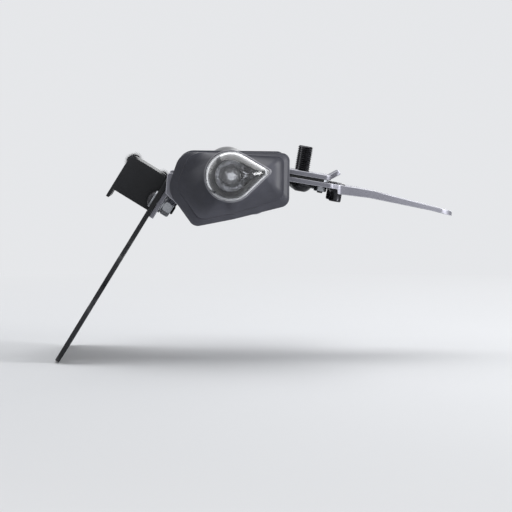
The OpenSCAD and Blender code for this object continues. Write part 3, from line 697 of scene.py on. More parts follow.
class Shape:
    """A mesh while it is made, in millimetres."""

    def __init__(self) -> None:
        """Starts an empty shape."""
        self.points: list[Vector] = []
        self.faces: list[tuple[int, ...]] = []
        self.zones: list[int] = []

    def loft(
        self,
        rings: Sequence[Ring],
        place: Matrix | None = None,
        tube: bool = False,
        zone: int | Callable[[int], int] = 0,
    ) -> Shape:
        """Skins a row of rings that have as many points each.

        Args:
            rings: the rings in order.
            place: where the rings' own frame stands.
            tube: joins the last ring to the first, in place of capping both ends.
            zone: material place of the faces, or a function of the span's number.

        Returns:
            The shape itself.
        """
        start, count = len(self.points), len(rings[0])
        place = place or Matrix.Identity(4)
        for ring in rings:
            self.points.extend(place @ point for point in ring)
        spans = len(rings) if tube else len(rings) - 1
        for j in range(spans):
            here, there = start + j * count, start + (j + 1) % len(rings) * count
            for i in range(count):
                k = (i + 1) % count
                self.faces.append((here + i, here + k, there + k, there + i))
                self.zones.append(zone(j) if callable(zone) else zone)
        if not tube:
            last = start + (len(rings) - 1) * count
            self.faces.append(tuple(start + i for i in reversed(range(count))))
            self.faces.append(tuple(last + i for i in range(count)))
            self.zones.extend([zone(0) if callable(zone) else zone] * 2)
        return self

    def piece(self, name: str, finishes: Sequence[Finish], sharp: float = 32.0) -> bpy.types.Object:
        """Makes the piece and gives it its finishes.

        Args:
            name: the piece's name.
            finishes: one finish for each zone.
            sharp: angle in degrees past which an edge stays crisp.

        Returns:
            The new object.
        """
        mesh = bpy.data.meshes.new(name)
        mesh.from_pydata([point * MM for point in self.points], [], self.faces)
        mesh.polygons.foreach_set("material_index", self.zones)
        sheet = bmesh.new()
        sheet.from_mesh(mesh)
        bmesh.ops.recalc_face_normals(sheet, faces=sheet.faces)
        sheet.to_mesh(mesh)
        sheet.free()
        mesh.shade_smooth()
        mesh.set_sharp_from_angle(angle=math.radians(sharp))
        for finish in finishes:
            mesh.materials.append(finish.material())
        return placed(name, mesh)


def fit(made: bpy.types.Object, *nodes: str) -> bpy.types.Object:
    """Puts a piece in the place of the frame's nodes.

    Args:
        made: the piece, already where it belongs.
        nodes: the nodes that it stands for.

    Returns:
        The same piece.
    """
    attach(made, ROOT)
    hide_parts(*nodes)
    log.info("%s stands for %s", made.name, ", ".join(nodes))
    return made


def dress(node: str, finish: Finish | None = None) -> None:
    """Gives a node of the frame its finish and leaves its shape alone.

    Args:
        node: the node's name.
        finish: the finish, where it isn't the usual one of the node's slot.
    """
    carried = frame["nodes"][node]
    material = (finish or FINISHES[SLOT_OF[node]]).material()
    for place in carried.material_slots:
        place.material = material
    log.info("%s keeps its shape", node)


@dataclass
class EdgeBreak:
    """A sheet or block from the frame with its sharp edges broken, as deburring leaves them.

    Edges that turn by more than least_angle are rounded. Points closer than weld are joined first, and
    so are faces that turn by less than flat_angle. Angles are in degrees.
    """

    node: str
    radius: float = 0.3
    segments: int = 2
    finish: Finish | None = None
    least_angle: float = 28.0
    weld: float = 0.002
    flat_angle: float = 0.5
    crisp_angle: float = 50.0

    def build(self) -> bpy.types.Object:
        """Copies the node's solid, joins its flat faces, rounds its edges and marks them for wear.

        Returns:
            The new piece.
        """
        sheet = bmesh.new()
        sheet.from_mesh(frame["nodes"][self.node].data)
        bmesh.ops.remove_doubles(sheet, verts=sheet.verts, dist=self.weld * MM)
        bmesh.ops.dissolve_limit(
            sheet, angle_limit=math.radians(self.flat_angle), verts=sheet.verts, edges=sheet.edges
        )
        mark = sheet.faces.layers.float.new(EDGE_MARK)
        least = math.radians(self.least_angle)
        sharp = [e for e in sheet.edges if len(e.link_faces) == 2 and e.calc_face_angle(0.0) > least]
        rounded_off = bmesh.ops.bevel(
            sheet,
            geom=sharp,
            offset=self.radius * MM,
            offset_type="OFFSET",
            segments=self.segments,
            profile=0.5,
            affect="EDGES",
            clamp_overlap=False,
        )
        for face in rounded_off["faces"]:
            face[mark] = 1.0
        name = f"{self.node}_finished"
        mesh = bpy.data.meshes.new(name)
        sheet.to_mesh(mesh)
        sheet.free()
        mesh.shade_smooth()
        mesh.set_sharp_from_angle(angle=math.radians(self.crisp_angle))
        mesh.materials.append((self.finish or FINISHES[SLOT_OF[self.node]]).material())
        made = placed(name, mesh)
        made.modifiers.new("even_normals", "WEIGHTED_NORMAL").keep_sharp = True
        return fit(made, self.node)


def circle(radius: float, z: float, steps: int = 48) -> Ring:
    """Returns a ring of that radius at height z."""
    turn = 2 * math.pi / steps
    return [Vector((radius * math.cos(i * turn), radius * math.sin(i * turn), z)) for i in range(steps)]


def hexagon(across: float, z: float, steps: int = 48, limit: float = 1e9) -> Ring:
    """Draws a six-sided ring.

    Args:
        across: distance between two flats.
        z: height of the ring.
        steps: points, a multiple of six.
        limit: radius that the corners are turned down to.

    Returns:
        The ring.
    """
    ring = []
    for i in range(steps):
        angle = 360.0 * i / steps
        radius = min(across / 2 / math.cos(math.radians(angle % 60 - 30)), limit)
        ring.append(
            Vector((radius * math.cos(math.radians(angle)), radius * math.sin(math.radians(angle)), z))
        )
    return ring


def thread(diameter: float, pitch: float, start: float, end: float, steps: int = 48) -> list[Ring]:
    """Winds a right-handed screw thread between two heights, with a chamfered end.

    Args:
        diameter: outer diameter.
        pitch: advance in one turn.
        start: height of the first ring.
        end: height of the last ring, where the chamfer is.
        steps: points in a ring.

    Returns:
        The thread's rings, from start to end.
    """
    rows = max(2, round(abs(end - start) / pitch * ROWS_PER_TURN))
    depth, rings = THREAD_DEPTH * pitch, []
    for row in range(rows + 1):
        z = start + (end - start) * row / rows
        ring = []
        for i in range(steps):
            phase = (z / pitch - i / steps) % 1.0
            crest = min(1.0, max(0.0, (abs(2 * phase - 1) - ROOT_FLAT) / (1 - 2 * ROOT_FLAT)))
            radius = diameter / 2 - depth * (1 - crest)
            radius = min(radius, diameter / 2 - depth + abs(end - z))
            angle = 2 * math.pi * i / steps
            ring.append(Vector((radius * math.cos(angle), radius * math.sin(angle), z)))
        rings.append(ring)
    return rings


@dataclass
class ButtonBolt:
    """Dome-headed bolt with a hexagon socket: head upwards from z = 0, shank downwards.

    The plain part of the shank is as thick as the thread, unless shank says otherwise.
    """

    diameter: float
    reach: float
    head_r: float
    head_h: float
    socket: float
    pitch: float
    threaded: float
    shank: float | None = None

    def add_to(self, shape: Shape, place: Matrix) -> None:
        """Adds the bolt to a shape.

        Args:
            shape: the shape that it goes into.
            place: frame of the face under its head.
        """
        socket_floor, countersink, rim, rim_h, foot_break, steps = 0.45, 0.25, 0.12, 0.3, 0.2, 9
        dome_r = (self.head_r**2 + self.head_h**2) / (2 * self.head_h)

        def crown(radius: float) -> float:
            """Returns the dome's height at a radius."""
            return self.head_h - dome_r + math.sqrt(dome_r**2 - radius**2)

        mouth = self.socket / math.sqrt(3) + countersink
        rings = [
            hexagon(self.socket, socket_floor * self.head_h),
            hexagon(self.socket, crown(mouth) - countersink),
            circle(mouth, crown(mouth)),
        ]
        for i in range(1, steps + 1):
            radius = mouth + (self.head_r - rim - mouth) * i / steps
            rings.append(circle(radius, crown(radius)))
        rings += [circle(self.head_r, rim_h), circle(self.head_r - foot_break, 0.0)]
        plain = (self.shank or self.diameter) / 2
        rings += [circle(plain, 0.0), circle(plain, self.threaded - self.reach)]
        rings += thread(self.diameter, self.pitch, self.threaded - self.reach - RUNOUT, -self.reach)
        shape.loft(rings, place)


@dataclass
class FlatBolt:
    """Countersunk screw with a hexagon socket: its head just below z = 0, its shank downwards."""

    diameter: float
    reach: float
    head_r: float
    sunk: float
    land: float
    socket: float
    pitch: float
    threaded: float

    def add_to(self, shape: Shape, place: Matrix) -> None:
        """Adds the screw to a shape.

        Args:
            shape: the shape that it goes into.
            place: frame of the face that its head is sunk in.
        """
        socket_floor, countersink, edge = 0.7, 0.2, 0.12
        radius = self.diameter / 2
        cone = self.head_r - radius
        rim = -self.sunk - self.land
        mouth = self.socket / math.sqrt(3) + countersink
        rings = [
            hexagon(self.socket, rim - socket_floor * cone),
            hexagon(self.socket, -self.sunk - countersink),
            circle(mouth, -self.sunk),
            circle(self.head_r - edge, -self.sunk),
            circle(self.head_r, -self.sunk - edge),
            circle(self.head_r, rim),
            circle(radius, rim - cone),
            circle(radius, self.threaded - self.reach),
        ]
        rings += thread(self.diameter, self.pitch, self.threaded - self.reach - RUNOUT, -self.reach)
        shape.loft(rings, place)


@dataclass
class HexNut:
    """Hexagon nut with chamfered corners, standing on z = 0."""

    bore: float
    across: float
    height: float

    def add_to(self, shape: Shape, place: Matrix) -> None:
        """Adds the nut to a shape.

        Args:
            shape: the shape that it goes into.
            place: frame of its lower face.
        """
        steps, rows, lip = 72, 3, 0.45
        flat, corner = self.across / 2, self.across / math.sqrt(3)
        drop = 0.16 * self.height
        chamfer = [(drop * k / rows, flat + (corner - flat) * k / rows) for k in range(rows + 1)]
        outer = [hexagon(self.across, z, steps, limit) for z, limit in chamfer]
        outer += [hexagon(self.across, self.height - z, steps, limit) for z, limit in chamfer[:0:-1]]
        outer.append(hexagon(self.across, self.height, steps, 0.98 * flat))
        inner = [
            circle(self.bore / 2 + lip, self.height, steps),
            circle(self.bore / 2, self.height - lip, steps),
            circle(self.bore / 2, lip, steps),
            circle(self.bore / 2 + lip, 0.0, steps),
        ]
        shape.loft(outer + inner, place, tube=True)


@dataclass
class Washer:
    """Flat washer with broken edges, standing on z = 0."""

    bore: float
    radius: float
    thickness: float

    def add_to(self, shape: Shape, place: Matrix) -> None:
        """Adds the washer to a shape.

        Args:
            shape: the shape that it goes into.
            place: frame of its lower face.
        """
        edge = 0.18
        shape.loft(
            [
                circle(self.radius - edge, 0.0),
                circle(self.radius, edge),
                circle(self.radius, self.thickness - edge),
                circle(self.radius - edge, self.thickness),
                circle(self.bore / 2 + edge, self.thickness),
                circle(self.bore / 2, self.thickness - edge),
                circle(self.bore / 2, edge),
                circle(self.bore / 2 + edge, 0.0),
            ],
            place,
            tube=True,
        )


def fastened(name: str, node: str, part: ButtonBolt | FlatBolt | HexNut | Washer,
             places: Sequence[Matrix]) -> None:
    """Makes a set of like fasteners as one piece.

    Args:
        name: the piece's name.
        node: the node that it stands for.
        part: the fastener.
        places: where each one stands.
    """
    shape = Shape()
    for place in places:
        part.add_to(shape, place)
    fit(shape.piece(name, [FINISHES[SLOT_OF[node]]]), node)


def pair(frame_of: Matrix, x: float, y: float, z: float) -> list[Matrix]:
    """Returns a place on each side of the middle of a frame."""
    return [frame_of @ Matrix.Translation((x, side.value * y, z)) for side in Side]


@dataclass
class Bracket:
    """The folded bracket, the support plate on it, the pad between them and their fasteners."""

    bolt_pitch: float = 60.0
    bolt_d: float = 8.0
    bolt_stud: float = 16.0
    washer_t: float = 1.6
    clamp_x: float = 12.6
    clamp_d: float = 4.0
    clamp_nut_h: float = 3.2
    clamp_spare: float = 1.0
    spacer_r: float = 4.5
    rivet_x: float = 23.2
    rivet_pitch: float = 50.0
    rivet_body_r: float = 3.9
    rivet_bore_r: float = 2.15
    rivet_collar_r: float = 5.2
    rivet_collar_h: float = 0.8
    rivet_drop: float = 8.2
    slack: float = 0.5

    def build(self) -> None:
        """Builds and dresses the sub-assembly."""
        EdgeBreak("main_bracket", 0.35).build()
        EdgeBreak("support_plate", 0.35).build()
        EdgeBreak("rubber_pad", 0.2).build()
        dress("deck_grommet")
        self.bolts()
        self.clamps()
        self.rivet_nuts()

    def bolts(self) -> None:
        """The two mounting bolts, heads below, and their washers."""
        head = LAYOUT.bracket_base - self.washer_t
        reach = self.bolt_stud - head
        bolt = ButtonBolt(
            diameter=self.bolt_d, reach=reach, head_r=0.875 * self.bolt_d, head_h=0.55 * self.bolt_d,
            socket=0.625 * self.bolt_d, pitch=1.25, threaded=self.bolt_stud, shank=0.9 * self.bolt_d,
        )
        places = [place @ DOWN for place in pair(LAYOUT.slope, 0.0, self.bolt_pitch / 2, head)]
        fastened("mounting_bolts_threaded", "mounting_bolts", bolt, places)
        washer = Washer(self.bolt_d + self.slack, self.bolt_d, self.washer_t)
        places = pair(LAYOUT.slope, 0.0, self.bolt_pitch / 2, head)
        fastened("mounting_washers_bevelled", "mounting_washers", washer, places)

    def clamps(self) -> None:
        """The two small screws, their nuts and the spacers between the plates."""
        reach = self.clamp_nut_h + self.clamp_spare - LAYOUT.bracket_base
        screw = FlatBolt(
            diameter=self.clamp_d, reach=reach, head_r=3.8, sunk=0.3, land=0.3, socket=2.5, pitch=0.7,
            threaded=8.0,
        )
        y = self.bolt_pitch / 2
        fastened("clamp_screws_threaded", "clamp_screws", screw, pair(LAYOUT.slope, self.clamp_x, y, 0.0))
        nut = HexNut(bore=self.clamp_d + NUT_SLACK, across=7.0, height=self.clamp_nut_h)
        below = pair(LAYOUT.slope, self.clamp_x, y, LAYOUT.bracket_base)
        fastened("clamp_nuts_chamfered", "clamp_nuts", nut, [place @ DOWN for place in below])
        spacer = Washer(self.clamp_d + self.slack, self.spacer_r, LAYOUT.pad_t)
        places = pair(LAYOUT.slope, self.clamp_x, y, LAYOUT.bracket_top)
        fastened("spacer_washers_bevelled", "spacer_washers", spacer, places)

    def rivet_nuts(self) -> None:
        """The two rivet nuts at the root of the nose, upset below the sheet and knurled."""
        body, collar, bore = self.rivet_body_r, self.rivet_collar_r, self.rivet_bore_r
        top, under = self.rivet_collar_h, -LAYOUT.sheet_t
        foot = under - self.rivet_drop
        mouth, half_pitch, ridge = bore + 0.3, 0.35, 0.14
        turned_edge = [(mouth, top), (collar - 0.45, top), (collar - 0.1, top - 0.2), (collar, 0.2)]
        upset = [
            (collar, 0.0), (body, 0.0), (body, under), (collar - 0.4, under), (collar - 0.22, under - 0.35),
            (collar - 0.25, under - 1.0), (body + 0.25, under - 1.7), (body, under - 2.2),
        ]
        end = [(body, foot + 0.6), (body - 0.5, foot), (mouth, foot)]
        rings = [circle(radius, z) for radius, z in turned_edge + upset]
        rings += [self.knurled(body, z) for z in (under - 2.5, foot + 1.0)]
        rings += [circle(radius, z) for radius, z in end]
        rings += [circle(bore - ridge * (k % 2), foot + half_pitch * (k + 1)) for k in range(31)]
        shape = Shape()
        for place in pair(LAYOUT.slope, self.rivet_x, self.rivet_pitch / 2, LAYOUT.bracket_top):
            shape.loft(rings, place, tube=True)
        fit(shape.piece("rivet_nuts_knurled", [FINISHES[Slot.BLACK_SCREW]]), "rivet_nuts")

    @staticmethod
    def knurled(radius: float, z: float) -> Ring:
        """Cuts straight knurls into a ring.

        Args:
            radius: radius over the knurls.
            z: height of the ring.

        Returns:
            The ring.
        """
        groove = 0.955
        ring = circle(radius, z)
        for point in ring[1::2]:
            point.xy *= groove
        return ring


@dataclass
class Hanger:
    """The number-plate hanger and what bolts it to the bracket's rear flange."""

    bolt_d: float = 6.0
    bolt_y: float = 44.0
    bolt_z: float = -22.0
    washer_t: float = 1.2
    nut_h: float = 6.0
    spare: float = 1.5
    slack: float = 0.5

    def build(self) -> None:
        """Builds and dresses the sub-assembly."""
        EdgeBreak("plate_hanger", 0.35).build()
        dress("hanger_grommet")
        behind = -LAYOUT.sheet_t / 2 - self.washer_t
        ahead = 1.5 * LAYOUT.sheet_t
        reach = 2 * LAYOUT.sheet_t + 2 * self.washer_t + self.nut_h + self.spare
        bolt = ButtonBolt(
            diameter=self.bolt_d, reach=reach, head_r=0.875 * self.bolt_d, head_h=0.55 * self.bolt_d,
            socket=4.0, pitch=1.0, threaded=9.0,
        )
        heads = [place @ DOWN for place in self.places(behind)]
        fastened("hanger_bolts_threaded", "hanger_bolts", bolt, heads)
        washer = Washer(self.bolt_d + self.slack, 6.0, self.washer_t)
        both = self.places(behind) + self.places(ahead)
        fastened("hanger_washers_bevelled", "hanger_washers", washer, both)
        nut = HexNut(bore=self.bolt_d + NUT_SLACK, across=10.0, height=self.nut_h)
        fastened("hanger_nuts_chamfered", "hanger_nuts", nut, self.places(ahead + self.washer_t))

    def places(self, x: float) -> list[Matrix]:
        """Returns the two bolts' frames at a distance forwards from the hanger's middle plane."""
        return LAYOUT.through_hanger(x, self.bolt_y, self.bolt_z)


@dataclass
class PlateLamp:
    """The number-plate lamp in its folded hood."""

    bolt_d: float = 4.0
    bolt_y: float = 20.0
    bolt_z: float = -17.0
    bolt_grip: float = 7.0
    hood_t: float = 2.0
    hood_d: float = 27.3
    hood_top: float = -6.0
    hood_inner_r: float = 1.0
    body_h: float = 13.0
    back_gap: float = 0.4
    diode: float = 5.0
    diode_h: float = 1.2
    diode_pitch: float = 12.0

    def build(self) -> None:
        """Builds and dresses the sub-assembly."""
        EdgeBreak("lamp_hood", 0.25).build()
        EdgeBreak("lamp_body", 0.3).build()
        EdgeBreak("lamp_lens", 0.3, finish=RIBBED_LENS).build()
        for node in ("lamp_board", "lamp_gasket", "lamp_lens_screws"):
            dress(node)
        screw = ButtonBolt(
            diameter=self.bolt_d, reach=2 * LAYOUT.sheet_t + self.hood_t + self.bolt_grip, head_r=3.8,
            head_h=2.2, socket=2.5, pitch=0.7, threaded=12.0,
        )
        places = LAYOUT.through_hanger(1.5 * LAYOUT.sheet_t, self.bolt_y, self.bolt_z)
        fastened("lamp_bolts_threaded", "lamp_bolts", screw, places)
        self.diodes()

    def diodes(self) -> None:
        """The four diodes: a white carrier each, with a yellow dome under it."""
        front = -LAYOUT.sheet_t / 2 - self.hood_t
        back = -LAYOUT.sheet_t / 2 - self.hood_d + self.hood_t + self.back_gap
        base = self.hood_top - self.hood_t - self.hood_inner_r - self.body_h
        half, edge, carrier_h = self.diode / 2, 0.15, 0.75
        sides = [(half - edge, 0.0), (half, edge), (half, carrier_h - 0.1), (half - edge, carrier_h)]
        carrier = [self.rounded_square(width, z) for width, z in sides]
        dome_r, dome_z = 0.42 * self.diode, 0.8
        dome = [circle(dome_r, dome_z - 0.1), circle(dome_r, dome_z)]
        dome += [
            circle(dome_r * math.cos(a), dome_z + (self.diode_h - dome_z) * math.sin(a))
            for a in (0.3, 0.6, 0.9, 1.2, 1.45)
        ]
        shape = Shape()
        for k in (-1.5, -0.5, 0.5, 1.5):
            centre = Vector(((front + back) / 2, k * self.diode_pitch, base))
            place = LAYOUT.hanger @ Matrix.Translation(centre) @ DOWN
            shape.loft(carrier, place, zone=1)
            shape.loft(dome, place)
        finishes = [FINISHES[Slot.DIODE_CAP], FINISHES[Slot.CIRCUIT_BOARD]]
        fit(shape.piece("lamp_diodes_domed", finishes), "lamp_diodes")

    @staticmethod
    def rounded_square(half: float, z: float, steps: int = 48) -> Ring:
        """Draws a square ring with its corners turned down.

        Args:
            half: half of its width.
            z: height of the ring.
            steps: points.

        Returns:
            The ring.
        """
        ring, corner = [], 0.5
        for i in range(steps):
            angle = 2 * math.pi * (i + 0.5) / steps
            x, y = math.cos(angle), math.sin(angle)
            reach = half / max(abs(x), abs(y))
            limit = (half - corner) * math.sqrt(2) + corner
            reach = min(reach, limit)
            ring.append(Vector((reach * x, reach * y, z)))
        return ring


def arc(
    centre: tuple[float, float], radius: float, start: float, end: float, steps: int
) -> Outline:
    """Draws an arc, with its points at the middles of equal steps.

    Args:
        centre: its centre.
        radius: its radius.
        start: first angle in degrees.
        end: last angle in degrees.
        steps: number of points.

    Returns:
        The points.
    """
    angles = (math.radians(start + (end - start) * (k + 0.5) / steps) for k in range(steps))
    return [(centre[0] + radius * math.cos(a), centre[1] + radius * math.sin(a)) for a in angles]


def fillet(
    before: tuple[float, float], corner: tuple[float, float, float], after: tuple[float, float], steps: int
) -> Outline:
    """Rounds a corner.

    Args:
        before: the corner before it.
        corner: the corner and its radius.
        after: the corner after it.
        steps: number of points.

    Returns:
        The points of the arc.
    """
    at, radius = Vector(corner[:2]), corner[2]
    one, two = (Vector(before) - at).normalized(), (Vector(after) - at).normalized()
    half = math.acos(one.dot(two)) / 2
    centre = at + (one + two).normalized() * radius / math.sin(half)
    first = at + one * radius / math.tan(half) - centre
    last = at + two * radius / math.tan(half) - centre
    start = math.degrees(math.atan2(first.y, first.x))
    sweep = (math.degrees(math.atan2(last.y, last.x)) - start + 540) % 360 - 180
    return arc(tuple(centre), radius, start, start + sweep, steps)


@dataclass
class Indicator:
    """One indicator: moulded foot and stem, pod, rim, reflector, bulb, lens and its fixings."""

    side: Side
    stem_l: float = 40.0
    rim_t: float = 5.5
    pod_rise: float = 8.3
    pod_l: float = 42.0
    pod_r: float = 15.8
    pod_reach: float = 23.0
    pod_wall: float = 0.1
    floor_h: float = 8.0
    holder_h: float = 8.0
    holder_floor: float = 3.0
    seat_gap: float = 0.3
    tip_r: float = 1.9
    tip_aim: float = 6.5
    lens_h: float = 14.0
    ring_h: float = 2.6
    neck_share: float = 0.82
    foot_at: tuple[float, float] = (-47.2, -10.2)
    round_at: tuple[float, float] = (-1.0, 0.5)
    foot_corners: tuple[tuple[float, float, float], ...] = (
        (37.2, -10.8, 6), (37.6, 22, 5), (-31, 22.8, 11), (-39.6, -1, 14), (-22.8, -24.4, 6), (2, -19.6, 60)
    )
    stud_d: float = 10.0
    stud_bore: float = 5.0
    stud_depth: float = 12.0
    stud_rise: float = 13.5
    stud_spare: float = 3.0
    nut_h: float = 8.0
    nut_across: float = 17.0
    backing_t: float = 2.5
    arc_steps: int = 14
    fill_steps: int = 5
    foot_y: float = field(init=False)
    stem_end: float = field(init=False)
    pod_end: float = field(init=False)

    def __post_init__(self) -> None:
        """Works out the distances along the indicator from the driving sizes."""
        self.foot_y = LAYOUT.ears_w / 2
        self.stem_end = self.foot_y + self.stem_l
        self.pod_end = self.stem_end + self.pod_l

    @property
    def pod_at(self) -> tuple[float, float]:
        """X and Z of the pod's centre."""
        return self.foot_at[0] + 0.6, self.foot_at[1] + self.pod_rise

    @property
    def stud_at(self) -> tuple[float, float]:
        """X and Z of the hollow stud."""
        return self.foot_at[0], LAYOUT.deck_rise - LAYOUT.ear_h + self.stud_rise

    def node(self, part: str) -> str:
        """Returns the name of this side's node for a part."""
        return f"{self.side.name.lower()}_{part}"

    def filled(self, outline: Outline) -> Outline:
        """Adds points on the straight stretches between an outline's arcs.

        Args:
            outline: the arcs, one after another.

        Returns:
            The longer outline.
        """
        result = []
        for i, point in enumerate(outline):
            result.append(point)
            if i % self.arc_steps == self.arc_steps - 1:
                after = outline[(i + 1) % len(outline)]
                for k in range(1, self.fill_steps):
                    t = k / self.fill_steps
                    result.append(tuple(a + (b - a) * t for a, b in zip(point, after)))
        return result

    def teardrop(self) -> Outline:
        """Draws the pod's outline about its centre: a round end, and straight sides to a small tip.

        Returns:
            The outline.
        """
        aim = math.radians(self.tip_aim)
        tip = (
            self.round_at[0] + self.pod_reach * math.cos(aim),
            self.round_at[1] + self.pod_reach * math.sin(aim),
        )
        spread = math.degrees(math.acos((self.pod_r - self.tip_r) / self.pod_reach))
        quarter = (360 - 2 * spread) / 4
        outline = arc(tip, self.tip_r, self.tip_aim - spread, self.tip_aim, self.arc_steps)
        outline += arc(tip, self.tip_r, self.tip_aim, self.tip_aim + spread, self.arc_steps)
        start = self.tip_aim + spread
        for k in range(4):
            outline += arc(
                self.round_at, self.pod_r, start + k * quarter, start + (k + 1) * quarter, self.arc_steps
            )
        return self.filled(outline)

    def foot(self) -> Outline:
        """Draws the foot's outline with its corners rounded.

        Returns:
            The outline in X and Z.
        """
        corners = self.foot_corners
        outline = []
        for i, corner in enumerate(corners):
            before, after = corners[i - 1][:2], corners[(i + 1) % len(corners)][:2]
            outline += fillet(before, corner, after, self.arc_steps)
        return [(self.foot_at[0] + x, self.foot_at[1] + z) for x, z in self.filled(outline)]

    def ring(self, outline: Outline, y: float) -> Ring:
        """Returns an outline as a ring at a distance from the bike's middle."""
        return [Vector((x, self.side.value * y, z)) for x, z in outline]

    def pod_ring(self, y: float, share: float) -> Ring:
        """Returns the pod's outline, scaled about its centre, as a ring."""
        return self.ring(self.scaled(share), y)

    def scaled(self, share: float) -> Outline:
        """Returns the pod's outline in X and Z, scaled about its centre."""
        return [(self.pod_at[0] + x * share, self.pod_at[1] + z * share) for x, z in self.teardrop()]

    def outwards(self, at: tuple[float, float], y: float) -> Matrix:
        """Returns a frame whose z runs outwards from a distance on this side."""
        turn = Matrix.Rotation(math.radians(-90 * self.side.value), 4, "X")
        return Matrix.Translation((at[0], self.side.value * y, at[1])) @ turn

    def add(self, part: str, finish_word: str, shape: Shape, finishes: Sequence[Finish]) -> None:
        """Makes a part's piece and puts it in its node's place."""
        fit(shape.piece(f"{self.node(part)}_{finish_word}", finishes), self.node(part))

    def build(self) -> None:
        """Builds and dresses the indicator."""
        self.stem()
        self.pod()
        self.trim_ring()
        self.reflector()
        self.bulb()
        self.lens()
        self.fixings()
        dress(self.node("bulb_holder"))

    def stem(self) -> None:
        """The foot's rim with its rounded edge, and the concave flare that closes to the pod's neck."""
        foot, neck = self.foot(), self.scaled(self.neck_share)

        def between(share: float, y: float) -> Ring:
            """Blends the foot's outline with the neck's.

            Args:
                share: 0 gives the foot's outline and 1 the neck's.
                y: distance of the ring from the bike's middle.

            Returns:
                The ring.
            """
            return self.ring(
                [(a[0] + (b[0] - a[0]) * share, a[1] + (b[1] - a[1]) * share) for a, b in zip(foot, neck)], y
            )

        rim_y = self.foot_y + self.rim_t
        edge_r, edge_share, foot_break = 0.8, 0.02, 0.35
        rings = [between(0.012, self.foot_y), between(0.0, self.foot_y + foot_break)]
        rings += [
            between(edge_share * (1 - math.cos(a)), rim_y - edge_r + edge_r * math.sin(a))
            for a in (0.0, 0.4, 0.8, 1.2, 1.5)
        ]
        shelf_share, shelf_step, shelf_rise, shelf_rows = 0.06, 0.035, 0.3, 5
        rings += [between(shelf_share + shelf_step * k, rim_y + shelf_rise * k) for k in range(shelf_rows)]
        flare_share, flare_base, steps = 0.22, 2.0, 26
        rise = self.stem_end - rim_y - flare_base
        for k in range(steps + 1):
            a = math.pi / 2 * k / steps
            share = flare_share + (1 - flare_share) * math.sin(a)
            rings.append(between(share, rim_y + flare_base + rise * (1 - math.cos(a))))
        self.add("stem", "moulded", Shape().loft(rings), [FINISHES[Slot.STEM_RUBBER]])

    def pod(self) -> None:
        """The pod housing, open towards the lens."""
        inner = 1 - self.pod_wall
        outside = [(0.0, self.neck_share), (3.0, self.neck_share + 0.015), (8.0, 0.89), (14.0, 0.95),
                   (22.0, 0.985), (self.pod_l, 1.0)]
        inside = [(self.pod_l, inner), (18.0, inner - 0.03), (self.floor_h + 2, inner - 0.12),
                  (self.floor_h, inner - 0.2)]
        rows = smooth_row(outside, 5) + inside
        rings = [self.pod_ring(self.stem_end + y, share) for y, share in rows]
        self.add("pod", "moulded", Shape().loft(rings), [FINISHES[Slot.POD_PLASTIC]])

    def trim_ring(self) -> None:
        """The light rim round the pod's mouth, with a rounded front."""
        y, top = self.pod_end, self.ring_h
        profile = [
            (0.0, 0.96), (0.0, 1.0), (1.0, 1.005), (1.7, 1.003), (2.2, 0.995), (top - 0.1, 0.983),
            (top, 0.97), (top, 0.91), (top - 0.15, 0.903), (1.0, 0.9), (1.0, 0.96),
        ]
        rings = [self.pod_ring(y + height, share) for height, share in profile]
        self.add("trim_ring", "rounded", Shape().loft(rings, tube=True), [FINISHES[Slot.GREY_TRIM]])

    def reflector(self) -> None:
        """The reflector: a bright cup round the bulb, its upper wall and outside black matt, painted shade
        that stands in for the bowl's dark reflection.
        """
        depth = self.pod_l - self.floor_h - self.holder_h - self.seat_gap
        wall, hole, lip, steps = 1.2, 0.36, 1.0, 20
        bowl = 1 - self.pod_wall - 0.03
        mouth, brim, bright_from = bowl - 0.05, 0.95, 12

        def quarter(k: int, reach: float, edge: float) -> Ring:
            """Returns the bowl's ring number k for a depth and an edge share."""
            a = math.pi / 2 * k / steps
            return self.pod_ring(self.pod_end - reach * math.sin(a), hole + (edge - hole) * math.cos(a))

        rings = [self.pod_ring(self.pod_end + lip, brim), self.pod_ring(self.pod_end + lip, mouth)]
        rings += [quarter(k, depth - wall, mouth) for k in range(1, steps + 1)]
        rings += [quarter(k, depth, bowl) for k in range(steps, 0, -1)]
        rings += [self.pod_ring(self.pod_end, bowl), self.pod_ring(self.pod_end, brim)]

        def zone(span: int) -> int:
            """Bright from part of the way down the bowl; black before that, as painted shade for the bowl's
            dark reflection, and behind.
            """
            return 0 if bright_from + 1 <= span <= steps + 1 else 1

        # The second finish paints shade on the bowl's upper wall in place of its dark reflection
        finishes = [FINISHES[Slot.REFLECTOR], SHADE_BAND]
        self.add("reflector", "bright", Shape().loft(rings, tube=True, zone=zone), finishes)

    def bulb(self) -> None:
        """The silvered bulb on its round base."""
        profile = [(0.0, 0.5), (0.0, 4.3), (0.3, 4.6), (8.5, 4.6), (8.9, 4.4), (9.4, 3.8), (9.8, 3.6)]
        sweep = [math.radians(a) for a in range(-50, 90, 7)]
        glass_z, glass_h, glass_r, aside = 15.5, 6.4, 6.0, 0.4
        profile += [(glass_z + glass_h * math.sin(a), glass_r * math.cos(a)) for a in sweep]
        profile.append((glass_z + glass_h, 0.3))
        rings = [circle(radius, z) for z, radius in profile]
        at = tuple(p + aside * r for p, r in zip(self.pod_at, self.round_at))
        place = self.outwards(at, self.stem_end + self.floor_h + self.holder_floor)
        self.add("bulb", "silvered", Shape().loft(rings, place), [FINISHES[Slot.BULB_GLASS]])

    def lens(self) -> None:
        """The clear domed lens."""
        base, wall, steps, top = self.pod_end + self.ring_h, 1.8, 22, math.radians(84)
        inner, outer, crown = 0.86, 0.95, 0.05

        def dome(k: int, height: float, edge: float) -> Ring:
            """Returns the dome's ring number k for a height and an edge share."""
            a = top * k / steps
            return self.pod_ring(base + height * math.sin(a), edge * math.cos(a))

